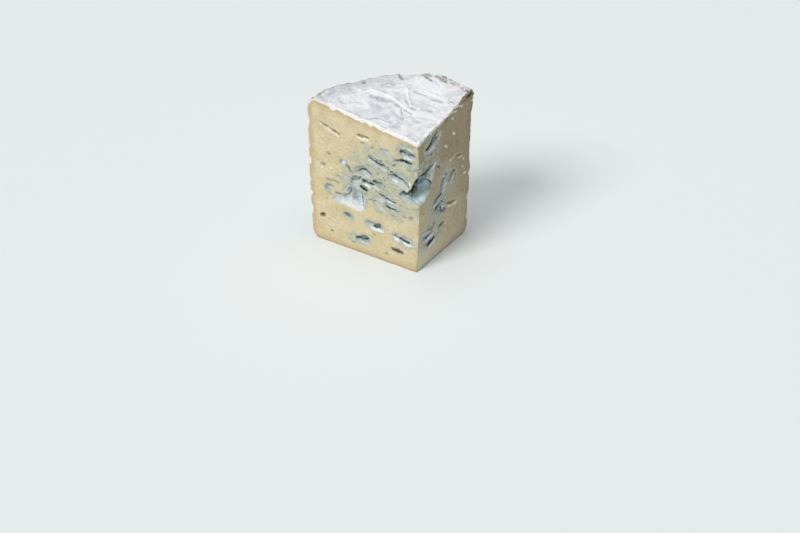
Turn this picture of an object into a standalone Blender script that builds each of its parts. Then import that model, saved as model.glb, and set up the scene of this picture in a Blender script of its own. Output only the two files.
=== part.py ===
"""Quarter wedge of a tall, soft, blue-veined cheese with a white mould rind.

Metres, +Z up. The wedge stands on its underside. The origin is the middle of its
footprint's box, at the base. The tip, where the two cut faces meet, points to -Y, and
the rind wall is at +Y. The left cut face runs from the tip to -X, the right one to +X.
"""

import math
from typing import NamedTuple

import bmesh
import bpy
from mathutils import Matrix, Vector, noise

MM = 0.001

# The wedge is a quarter of a turned drum
DRUM_RADIUS = 0.0775
TOP_SHOULDER = 0.0085
FOOT_SHOULDER = 0.0055
WALL_BULGE = 0.0008
DRUM_STEPS = 108
RIND_SPACING = 0.0045

# The two cuts, which meet at a right angle a little off the drum's centre
LEFT_CUT = 0.0951
RIGHT_CUT = 0.0717
HALF_ANGLE = math.radians(45)
BLOCK_SIDE = 0.186  # the block that leaves the quarter is larger than the drum
BLOCK_BELOW = 0.020

# The top has sunk towards the tip: it climbs by these shares along the two cuts
TIP_HEIGHT = 0.106
LEFT_RISE = 0.140
RIGHT_RISE = 0.180


class Rim(NamedTuple):
    """How the top's rim has spread out and risen at one angle, in degrees and millimetres.

    The angle runs round the drum's centre, from the right cut's direction to the left's.
    """

    angle: float
    spread: float
    rise: float


RIMS = (
    Rim(-60, 0, 0),
    Rim(-16, 4.2, 4.0),
    Rim(-4, 3.0, 2.8),
    Rim(12, 3.0, 3.0),
    Rim(24, 0.4, 0),
    Rim(40, 0, -1.2),
    Rim(56, 0, -2.6),
    Rim(72, 0, -0.6),
    Rim(90, 0.6, 0.4),
    Rim(130, 0, 0),
)
SPREAD_FROM = 0.74  # the share of the height above which the wall has spread
RISE_FROM = 0.55  # the share of the radius outside which the top has risen

# Uneven rind: slow lumps, and narrower wrinkles over them
LUMP_SIZE = 0.022
LUMP_HEIGHT = 0.0008
WRINKLE_SIZE = 0.009
WRINKLE_HEIGHT = 0.0007
FLAT_FOOT = 0.004  # below this height the rind stays true, so that the base is flat

# Hollows are ellipsoids with ragged walls, sunk a little under the cut face. They lean:
# inwards they climb, so that the floor slopes out and the upper lip hangs over
RAGGED = 0.42
CAVE_RAGGED = 0.16
RAGGED_SIZE = 0.0055
SUNK = 0.10
LEAN = math.radians(32)
SEED_SHIFT = Vector((3.7, 1.9, 5.3))  # how far apart two cutters' random walls are read
LARGE_HOLLOW = 0.0105  # longer hollows get the finer sphere

LEFT = Vector((-math.sin(HALF_ANGLE), math.cos(HALF_ANGLE), 0))
RIGHT = Vector((math.sin(HALF_ANGLE), math.cos(HALF_ANGLE), 0))
UP = Vector((0, 0, 1))


class Hollow(NamedTuple):
    """A hollow on a cut face, in millimetres. A positive tilt rises away from the tip."""

    along: float
    up: float
    length: float
    width: float
    depth: float
    tilt: float


LEFT_HOLLOWS = (
    Hollow(76.5, 97.0, 19, 3.2, 2.6, 16),
    Hollow(47.0, 99.0, 9, 3.0, 2.6, 4),
    Hollow(28.0, 93.0, 7.5, 6.0, 1.8, 0),
    Hollow(9.5, 95.5, 13, 6.5, 3.6, -4),
    Hollow(10.5, 89.0, 15, 2.6, 4.0, -5),
    Hollow(33.0, 82.2, 19, 3.4, 5.0, 21),
    Hollow(17.0, 75.8, 14, 3.2, 5.0, 17),
    Hollow(17.5, 71.6, 14, 5.4, 4.0, 22),
    Hollow(47.0, 71.0, 15, 7.0, 4.5, 2),
    Hollow(43.0, 64.0, 13, 3.4, 5.0, 6),
    Hollow(54.5, 61.5, 10, 6.5, 4.0, -32),
    Hollow(47.0, 57.3, 6.5, 3.6, 4.0, 15),
    Hollow(34.0, 64.6, 9, 4.0, 3.0, 12),
    Hollow(53.5, 47.5, 16, 14, 8.0, 78),
    Hollow(64.5, 41.5, 17, 8.5, 4.0, -14),
    Hollow(79.0, 48.0, 7.0, 6.5, 2.4, 0),
    Hollow(65.0, 74.0, 6.5, 5.2, 2.2, 0),
    Hollow(59.5, 70.0, 7.5, 2.6, 3.0, 38),
    Hollow(26.0, 54.8, 15, 3.4, 4.5, 14),
    Hollow(23.5, 49.2, 13, 3.8, 4.5, 16),
    Hollow(35.5, 48.0, 8, 4.6, 2.4, 10),
    Hollow(61.0, 29.3, 7.5, 3.6, 3.0, 4),
    Hollow(36.5, 28.0, 14, 5.0, 5.0, 4),
    Hollow(49.0, 12.8, 15, 5.2, 4.5, -15),
    Hollow(12.0, 24.3, 17, 4.6, 4.6, 12),
    Hollow(18.0, 13.3, 9, 2.2, 2.6, 6),
    Hollow(86.0, 22.0, 6, 3.0, 3.0, -26),
)

RIGHT_HOLLOWS = (
    Hollow(21.0, 99.3, 18, 4.6, 4.6, 18),
    Hollow(34.5, 59.5, 15, 5.6, 4.0, 62),
    Hollow(46.5, 60.5, 13, 5.0, 2.6, 38),
    Hollow(27.0, 50.3, 12, 3.8, 3.0, 28),
    Hollow(29.0, 42.6, 12, 7.0, 4.0, 24),
    Hollow(35.0, 36.8, 8, 3.6, 2.4, -18),
    Hollow(13.0, 27.0, 16, 5.2, 4.0, 14),
    Hollow(17.8, 17.8, 12, 4.4, 5.0, 10),
    Hollow(33.5, 25.3, 9, 2.6, 2.6, 4),
    Hollow(47.0, 76.5, 6.5, 3.6, 2.2, 22),
    Hollow(56.0, 72.3, 10, 3.4, 2.2, 0),
    Hollow(48.0, 37.3, 14, 3.4, 2.2, -12),
)


class Lobe(NamedTuple):
    """A lobe of the cave at the tip, in millimetres, seen squarely from the tip.

    Its middle is so far across to the right, so far into the wedge and so far up. A
    positive tilt rises to the right.
    """

    across: float
    into: float
    up: float
    length: float
    height: float
    depth: float
    tilt: float


TIP_LOBES = (
    Lobe(4.0, 4.0, 67.0, 26, 19, 26, 20),
    Lobe(6.0, 4.0, 75.5, 26, 12.5, 25, 14),
    Lobe(-7.0, 7.5, 62.5, 13, 6.0, 12, 18),
)

PASTE_COLOUR = (0.62, 0.53, 0.32, 1)
RIND_COLOUR = (0.82, 0.83, 0.82, 1)
MOULD_COLOUR = (0.34, 0.42, 0.40, 1)


def smooth_step(value, low, high):
    """0 where the value is at low, 1 where it is at high, and smooth between."""
    share = min(1, max(0, (value - low) / (high - low)))
    return share * share * (3 - 2 * share)


def rim_at(angle):
    """How far the rim has spread and risen at an angle, in metres."""
    for first, last in zip(RIMS, RIMS[1:]):
        if first.angle <= angle < last.angle:
            share = smooth_step(angle, first.angle, last.angle)
            spread = first.spread + (last.spread - first.spread) * share
            rise = first.rise + (last.rise - first.rise) * share
            return spread * MM, rise * MM
    return 0, 0


def drum_centre_from_tip():
    """The drum's centre as distances from the tip along the left and right cuts.

    Both cuts end on the drum's wall, so the centre is on the line that halves the
    chord between their ends, one drum radius from each end, on the tip's side.
    """
    chord = math.hypot(LEFT_CUT, RIGHT_CUT)
    back = math.sqrt(DRUM_RADIUS**2 - (chord / 2) ** 2)
    return (
        LEFT_CUT / 2 - back * RIGHT_CUT / chord,
        RIGHT_CUT / 2 - back * LEFT_CUT / chord,
    )


def tip_place():
    """The tip's foot, which puts the middle of the footprint's box at the origin."""
    along_left, along_right = drum_centre_from_tip()
    centre = LEFT * along_left + RIGHT * along_right
    left_spread, _ = rim_at(math.degrees(math.atan2(LEFT_CUT - along_left, -along_right)))
    right_spread, _ = rim_at(math.degrees(math.atan2(-along_left, RIGHT_CUT - along_right)))
    west = (LEFT * (LEFT_CUT + left_spread)).x
    east = (RIGHT * (RIGHT_CUT + right_spread)).x
    north = centre.y + DRUM_RADIUS + WALL_BULGE
    return Vector((-(west + east) / 2, -north / 2, 0))


TIP = tip_place()
DRUM_CENTRE = TIP + LEFT * drum_centre_from_tip()[0] + RIGHT * drum_centre_from_tip()[1]


def local_height(point):
    """Height of the cheese's top over a point of the plan."""
    from_tip = point - TIP
    return TIP_HEIGHT + LEFT_RISE * from_tip.dot(LEFT) + RIGHT_RISE * from_tip.dot(RIGHT)


def sunk_and_spread(point):
    """Where a point of the turned drum lies once its top has sunk and its rim spread."""
    out = point - DRUM_CENTRE
    out.z = 0
    radius_share = out.length / DRUM_RADIUS
    spread, rise = rim_at(math.degrees(math.atan2(out.dot(LEFT), out.dot(RIGHT))))
    spread *= smooth_step(point.z / TIP_HEIGHT, SPREAD_FROM, 1) * radius_share**2
    rise *= smooth_step(radius_share, RISE_FROM, 1)
    height = point.z * (local_height(point) + rise) / TIP_HEIGHT
    return Vector((point.x, point.y, height)) + out.normalized() * spread


def spaced(start, end):
    """Distances from start up to, but without, end, at about the rind's spacing."""
    count = max(1, round(abs(end - start) / RIND_SPACING))
    return [start + (end - start) * i / count for i in range(count)]


def arc(centre_r, centre_z, radius, first, last, count=4):
    """Points on a rounded edge, from the first angle to the last, both included."""
    angles = [math.radians(first + (last - first) * i / count) for i in range(count + 1)]
    return [(centre_r + radius * math.cos(a), centre_z + radius * math.sin(a)) for a in angles]


def drum_profile():
    """Half section of the drum, from the top's middle over the rim and down to the base."""
    top_flat = DRUM_RADIUS - TOP_SHOULDER
    foot_flat = DRUM_RADIUS - FOOT_SHOULDER
    wall_top = TIP_HEIGHT - TOP_SHOULDER
    top = [(r, TIP_HEIGHT) for r in spaced(0, top_flat)]
    rim = arc(top_flat, wall_top, TOP_SHOULDER, 90, 0)
    wall = []
    for z in spaced(wall_top, FOOT_SHOULDER)[1:]:
        share = (z - FOOT_SHOULDER) / (wall_top - FOOT_SHOULDER)
        wall.append((DRUM_RADIUS + WALL_BULGE * math.sin(math.pi * share), z))
    foot = arc(foot_flat, FOOT_SHOULDER, FOOT_SHOULDER, 0, -90)
    base = [(foot_flat * 2 / 3, 0), (foot_flat / 3, 0), (0, 0)]
    return top + rim + wall + foot + base


def rind_push(point):
    """How far the uneven rind stands out of the drum's true surface."""
    lump = noise.noise(point / LUMP_SIZE) * LUMP_HEIGHT
    wrinkle = (0.5 - abs(noise.noise(point / WRINKLE_SIZE))) * WRINKLE_HEIGHT
    fade = min(1, max(0, (point.z - FLAT_FOOT) / FLAT_FOOT))
    return (lump + wrinkle) * fade


def make_drum():
    """The whole drum: a turned profile, with its top tilted and its rind made uneven."""
    profile = bpy.data.meshes.new("drum_profile")
    points = [(r, 0, z) for r, z in drum_profile()]
    profile.from_pydata(points, [(i, i + 1) for i in range(len(points) - 1)], [])
    turned = bpy.data.objects.new("turned_profile", profile)
    bpy.context.scene.collection.objects.link(turned)
    screw = turned.modifiers.new("Turn", "SCREW")
    screw.steps = DRUM_STEPS
    screw.render_steps = DRUM_STEPS
    screw.use_merge_vertices = True
    screw.merge_threshold = 0.00001
    graph = bpy.context.evaluated_depsgraph_get()
    mesh = bpy.data.meshes.new_from_object(turned.evaluated_get(graph))
    bpy.data.objects.remove(turned)
    mesh.transform(Matrix.Translation(DRUM_CENTRE))
    normals = [v.normal.copy() for v in mesh.vertices]
    for vertex, normal in zip(mesh.vertices, normals):
        moved = sunk_and_spread(vertex.co)
        vertex.co = moved + normal * rind_push(moved)
    mesh.name = "cheese_wedge"
    return mesh


def quarter_block():
    """A block whose corner edge stands at the tip and whose sides lie in the two cuts."""
    middle = TIP + (LEFT + RIGHT) * BLOCK_SIDE / 2 + UP * (BLOCK_SIDE / 2 - BLOCK_BELOW)
    mesh = bpy.data.meshes.new("quarter_block")
    shape = bmesh.new()
    place = Matrix.Translation(middle) @ Matrix.Rotation(HALF_ANGLE, 4, "Z")
    bmesh.ops.create_cube(shape, size=BLOCK_SIDE, matrix=place)
    shape.to_mesh(mesh)
    shape.free()
    return mesh


def ragged_ellipsoid(name, axes, middle, half_sizes, ragged, seed):
    """An ellipsoid along three axes, with its wall pushed in and out."""
    mesh = bpy.data.meshes.new(name)
    shape = bmesh.new()
    fine = max(half_sizes) * 2 > LARGE_HOLLOW
    bmesh.ops.create_icosphere(shape, subdivisions=3 if fine else 2, radius=1)
    shift = SEED_SHIFT * seed
    for vertex in shape.verts:
        scaled = Vector(a * b for a, b in zip(vertex.co, half_sizes))
        scaled *= 1 + ragged * noise.noise(scaled / RAGGED_SIZE + shift)
        vertex.co = middle + sum((axis * reach for axis, reach in zip(axes, scaled)), Vector())
    if axes[0].cross(axes[1]).dot(axes[2]) < 0:
        bmesh.ops.reverse_faces(shape, faces=shape.faces)
    shape.to_mesh(mesh)
    shape.free()
    return mesh


def turned(first, second, angle):
    """Two directions at right angles, turned so that the first moves to the second."""
    return (
        first * math.cos(angle) + second * math.sin(angle),
        second * math.cos(angle) - first * math.sin(angle),
    )


def face_hollow(name, hollow, side, inward, seed):
    """The cutter of one hollow of the face that runs from the tip in direction side."""
    long_way, cross_way = turned(side, UP, math.radians(hollow.tilt))
    deep_way, cross_way = turned(inward, cross_way, LEAN)
    half_sizes = (hollow.length / 2 * MM, hollow.width / 2 * MM, hollow.depth * MM)
    middle = TIP + (side * hollow.along + UP * hollow.up + inward * hollow.depth * SUNK) * MM
    axes = (long_way, cross_way, deep_way)
    return ragged_ellipsoid(name, axes, middle, half_sizes, RAGGED, seed)


def tip_lobe(name, lobe, seed):
    """The cutter of one lobe of the cave at the tip."""
    across = (RIGHT - LEFT).normalized()
    into = (RIGHT + LEFT).normalized()
    long_way, high_way = turned(across, UP, math.radians(lobe.tilt))
    half_sizes = (lobe.length / 2 * MM, lobe.height / 2 * MM, lobe.depth / 2 * MM)
    middle = TIP + (across * lobe.across + into * lobe.into + UP * lobe.up) * MM
    axes = (long_way, high_way, into)
    return ragged_ellipsoid(name, axes, middle, half_sizes, CAVE_RAGGED, seed)


def hollow_cutters():
    """Cutters of all the hollows: those of the left face, the right face and the tip's."""
    cutters = []
    for number, hollow in enumerate(LEFT_HOLLOWS):
        cutters.append(face_hollow(f"left_hollow_{number}", hollow, LEFT, RIGHT, number))
    for number, hollow in enumerate(RIGHT_HOLLOWS, len(LEFT_HOLLOWS)):
        cutters.append(face_hollow(f"right_hollow_{number}", hollow, RIGHT, LEFT, number))
    for number, lobe in enumerate(TIP_LOBES):
        cutters.append(tip_lobe(f"tip_lobe_{number}", lobe, -1 - number))
    return cutters


def make_material(name, colour, roughness):
    material = bpy.data.materials.new(name)
    material.use_nodes = True
    shader = material.node_tree.nodes["Principled BSDF"]
    shader.inputs["Base Color"].default_value = colour
    shader.inputs["Roughness"].default_value = roughness
    shader.inputs["Metallic"].default_value = 0
    return material


def add_object(name, mesh, collection, material):
    mesh.materials.append(material)
    obj = bpy.data.objects.new(name, mesh)
    collection.objects.link(obj)
    return obj


def add_cutter(mesh, collection, material):
    cutter = add_object(mesh.name, mesh, collection, material)
    cutter.hide_render = True
    cutter.display_type = "WIRE"
    return cutter


def add_boolean(obj, name, operation, target):
    """Cuts obj by one object, or by every object of a collection."""
    boolean = obj.modifiers.new(name, "BOOLEAN")
    boolean.operation = operation
    boolean.solver = "EXACT"
    boolean.material_mode = "TRANSFER"
    if isinstance(target, bpy.types.Collection):
        boolean.operand_type = "COLLECTION"
        boolean.collection = target
        boolean.use_self = True
    else:
        boolean.object = target


def main():
    for obj in list(bpy.data.objects):
        bpy.data.objects.remove(obj)
    part = bpy.data.collections.new("cheese_wedge")
    knives = bpy.data.collections.new("knives")
    hollows = bpy.data.collections.new("hollows")
    for collection in (part, knives, hollows):
        bpy.context.scene.collection.children.link(collection)

    rind = make_material("white_rind", RIND_COLOUR, 0.9)
    paste = make_material("cheese_paste", PASTE_COLOUR, 0.45)
    mould = make_material("blue_mould", MOULD_COLOUR, 0.8)

    wedge = add_object("cheese_wedge", make_drum(), part, rind)
    block = add_cutter(quarter_block(), knives, paste)
    for mesh in hollow_cutters():
        add_cutter(mesh, hollows, mould)
    add_boolean(wedge, "Quarter", "INTERSECT", block)
    add_boolean(wedge, "Hollows", "DIFFERENCE", hollows)


main()
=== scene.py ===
"""Looks of a quarter wedge of soft, blue-veined cheese with a white mould rind.

The wedge is modelled again at a fine scale in its own corner's frame: the tip's foot is
the origin, +X runs along the right cut, +Y along the left cut and +Z up, so that the
left cut face is the plane x = 0 and the right one is y = 0. Sizes there are in
millimetres. At the end the mesh is turned and scaled into the part's frame, in metres.
"""

import itertools
import math
from typing import NamedTuple

import bmesh
import bpy
import numpy as np
from mathutils import Matrix, Vector, kdtree, noise


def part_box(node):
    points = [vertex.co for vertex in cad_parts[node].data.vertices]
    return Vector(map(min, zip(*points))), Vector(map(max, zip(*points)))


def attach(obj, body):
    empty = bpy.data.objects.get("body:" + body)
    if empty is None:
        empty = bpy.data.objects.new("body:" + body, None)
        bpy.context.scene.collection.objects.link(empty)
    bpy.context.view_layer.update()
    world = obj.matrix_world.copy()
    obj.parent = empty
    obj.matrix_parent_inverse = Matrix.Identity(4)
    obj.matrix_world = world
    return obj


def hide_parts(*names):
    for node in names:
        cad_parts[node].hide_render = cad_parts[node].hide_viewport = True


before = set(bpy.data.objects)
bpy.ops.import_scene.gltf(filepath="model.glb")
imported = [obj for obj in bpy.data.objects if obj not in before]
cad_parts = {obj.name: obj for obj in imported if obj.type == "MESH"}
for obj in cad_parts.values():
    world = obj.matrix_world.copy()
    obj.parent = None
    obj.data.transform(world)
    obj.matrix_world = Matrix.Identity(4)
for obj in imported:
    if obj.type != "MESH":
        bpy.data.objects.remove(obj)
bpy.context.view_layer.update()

MM = 0.001
NODE = "cheese_wedge"

# The wedge is a quarter of a turned drum. Its sizes and cuts are those of the solid
DRUM_RADIUS = 77.5
TOP_SHOULDER = 8.5
FOOT_SHOULDER = 5.5
WALL_BULGE = 0.8
LEFT_CUT = 95.1
RIGHT_CUT = 71.7
TIP_HEIGHT = 106.0
LEFT_RISE = 0.140
RIGHT_RISE = 0.180


class Rim(NamedTuple):
    """How the top's rim has spread out and risen at one angle, in degrees and millimetres.

    The angle runs round the drum's centre, from the right cut's direction to the left's.
    """

    angle: float
    spread: float
    rise: float


RIMS = (
    Rim(-60, 0, 0),
    Rim(-16, 4.2, 4.0),
    Rim(-4, 3.0, 2.8),
    Rim(12, 3.0, 3.0),
    Rim(24, 0.4, 0),
    Rim(40, 0, -1.2),
    Rim(56, 0, -2.6),
    Rim(72, 0, -0.6),
    Rim(90, 0.6, 0.4),
    Rim(130, 0, 0),
)
SPREAD_FROM = 0.74
RISE_FROM = 0.55

# The slow lumps and wrinkles of the rind, as the solid has them
LUMP_SIZE = 22.0
LUMP_HEIGHT = 0.8
WRINKLE_SIZE = 9.0
WRINKLE_HEIGHT = 0.7
FLAT_FOOT = 4.0

# The way in which the top's folds run, from the right cut's direction
FOLD_TURN = math.radians(-68)

# How finely the wedge is modelled
DRUM_STEPS = 220
PROFILE_SPACING = 2.4
VOXEL = 0.42

# The hollows' ragged walls, how far they are sunk and how they lean, as the solid has them
RAGGED = 0.42
CAVE_RAGGED = 0.16
RAGGED_SIZE = 5.5
SUNK = 0.10
LEAN = math.radians(32)

# How steeply the paste's grain rises away from the tip on the two cut faces
LEFT_GRAIN = math.radians(18)
RIGHT_GRAIN = math.radians(36)

UP = Vector((0, 0, 1))
LEFT = Vector((0, 1, 0))
RIGHT = Vector((1, 0, 0))
CORNER_TURN = math.radians(45)

# The direction in which the photo looks at the wedge: streaks run on into the hollows along it
LOOK = Vector((0.844, 0.536, -0.582))

# The painted shadow line under the cave's overhanging upper lip: where it meets the tip, how it
# rises on the two cut faces, and the height of the low stretch in which it ends on the left
CAVE_TOP = 80.6
CAVE_TOP_LEFT = -2.1
CAVE_TOP_RIGHT = 0.08
CAVE_TOP_LOW = 64.4

# Above that line the hollows' walls close up level with the left face, this near to the tip
CLOSED_REACH = 12.0
CLOSED_HEIGHTS = (60, 85)
CLOSED_AT = 0.15

# The tip leans this far to the right at half its height, and less and less away from it
TIP_LEAN = 1.6
TIP_LEAN_REACH = 16.0


class Kind(NamedTuple):
    """What lines a hollow, as shares from 0 to 1, and how far stain spreads round it, in mm.

    Its walls get painted shade where they lie higher than the share in shade of the hollow's half
    width; dark says how strong it is.
    """

    blue: float = 0
    pale: float = 0
    white: float = 0
    cream: float = 0
    brown: float = 0
    bowl: float = 0
    dark: float = 0
    shade: float = 0.4
    halo: float = 1


KINDS = {
    "blue": Kind(blue=0.7, pale=0.5, dark=0.45, shade=0.35, halo=4.2),
    "milky": Kind(blue=0.35, pale=0.9, dark=0.4, shade=0.55, halo=4.6),
    "white": Kind(pale=0.2, white=0.5, bowl=0.8, dark=0.15, shade=0.9, halo=2.0),
    "cream": Kind(cream=0.75, brown=0.2, dark=0.15, shade=0.5, halo=0.6),
    "grey": Kind(blue=0.3, pale=0.6, dark=0.25, shade=0.5, halo=2.0),
    "brown": Kind(brown=1.0, dark=0.45, shade=0.3, halo=0.8),
    "cave": Kind(bowl=1.0, halo=1.6),
}


class Hollow(NamedTuple):
    """A hollow on a cut face, in millimetres. A positive tilt rises away from the tip."""

    along: float
    up: float
    length: float
    width: float
    depth: float
    tilt: float
    kind: str


LEFT_HOLLOWS = (
    Hollow(76.5, 97.0, 19, 3.2, 2.6, 16, "cream"),
    Hollow(47.0, 99.0, 9, 3.0, 2.6, 4, "cream"),
    Hollow(28.0, 93.0, 7.5, 6.0, 1.8, 0, "grey"),
    Hollow(9.5, 95.5, 13, 6.5, 3.6, -4, "milky"),
    Hollow(10.5, 89.0, 15, 2.6, 4.0, -5, "blue"),
    Hollow(33.0, 82.2, 19, 3.4, 5.0, 21, "blue"),
    Hollow(17.0, 75.8, 14, 3.2, 5.0, 17, "blue"),
    Hollow(17.5, 71.6, 14, 5.4, 4.0, 22, "milky"),
    Hollow(47.0, 71.0, 15, 7.0, 4.5, 2, "milky"),
    Hollow(43.0, 64.0, 13, 3.4, 5.0, 6, "blue"),
    Hollow(54.5, 61.5, 10, 6.5, 4.0, -32, "milky"),
    Hollow(47.0, 57.3, 6.5, 3.6, 4.0, 15, "blue"),
    Hollow(34.0, 64.6, 9, 4.0, 3.0, 12, "blue"),
    Hollow(53.5, 47.5, 16, 14, 8.0, 78, "white"),
    Hollow(64.5, 41.5, 17, 8.5, 4.0, -14, "white"),
    Hollow(79.0, 48.0, 7.0, 6.5, 2.4, 0, "grey"),
    Hollow(65.0, 74.0, 6.5, 5.2, 2.2, 0, "white"),
    Hollow(59.5, 70.0, 7.5, 2.6, 3.0, 38, "grey"),
    Hollow(26.0, 54.8, 15, 3.4, 4.5, 14, "blue"),
    Hollow(23.5, 49.2, 13, 3.8, 4.5, 16, "blue"),
    Hollow(35.5, 48.0, 8, 4.6, 2.4, 10, "milky"),
    Hollow(61.0, 29.3, 7.5, 3.6, 3.0, 4, "blue"),
    Hollow(36.5, 28.0, 14, 5.0, 5.0, 4, "milky"),
    Hollow(49.0, 12.8, 15, 5.2, 4.5, -15, "blue"),
    Hollow(12.0, 24.3, 17, 4.6, 4.6, 12, "milky"),
    Hollow(18.0, 13.3, 9, 2.2, 2.6, 6, "brown"),
    Hollow(86.0, 22.0, 6, 3.0, 3.0, -26, "brown"),
)

RIGHT_HOLLOWS = (
    Hollow(21.0, 99.3, 18, 4.6, 4.6, 18, "milky"),
    Hollow(34.5, 59.5, 15, 5.6, 4.0, 62, "milky"),
    Hollow(46.5, 60.5, 13, 5.0, 2.6, 38, "grey"),
    Hollow(27.0, 50.3, 12, 3.8, 3.0, 28, "blue"),
    Hollow(29.0, 42.6, 12, 7.0, 4.0, 24, "milky"),
    Hollow(35.0, 36.8, 8, 3.6, 2.4, -18, "blue"),
    Hollow(13.0, 27.0, 16, 5.2, 4.0, 14, "milky"),
    Hollow(17.8, 17.8, 12, 4.4, 5.0, 10, "blue"),
    Hollow(33.5, 25.3, 9, 2.6, 2.6, 4, "grey"),
    Hollow(47.0, 76.5, 6.5, 3.6, 2.2, 22, "cream"),
    Hollow(56.0, 72.3, 10, 3.4, 2.2, 0, "cream"),
    Hollow(48.0, 37.3, 14, 3.4, 2.2, -12, "cream"),
)


class Tone(NamedTuple):
    """A streak's colour, how strong it is, how far stain spreads round it and how deep it is."""

    colour: str
    amount: float
    halo: float
    pressed: float


# The tones slit, dark and faint paint dark blue-green mould together with the shade in the slits;
# shadow paints shade alone
TONES = {
    "shadow": Tone("dark", 1.0, 0, 0.4),
    "slit": Tone("dark", 0.92, 3.4, 1.0),
    "dark": Tone("dark", 0.62, 3.0, 0.5),
    "faint": Tone("dark", 0.40, 2.2, 0.2),
    "grey": Tone("blue", 0.9, 2.0, 0.15),
    "pale": Tone("pale", 0.85, 2.2, 0),
    "white": Tone("white", 1.0, 0.6, -0.15),
    "chalk": Tone("white", 0.7, 0.4, -0.1),
    "bowl": Tone("bowl", 1.0, 0, 0),
    "cream": Tone("cream", 1.0, 0, -0.15),
    "brown": Tone("brown", 1.0, 0.4, 0.35),
    "olive": Tone("brown", 0.5, 0.8, 0.15),
}


class Streak(NamedTuple):
    """A streak on a cut face from one point, along and up in millimetres, to another."""

    along: float
    up: float
    to_along: float
    to_up: float
    width: float
    tone: str


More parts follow.
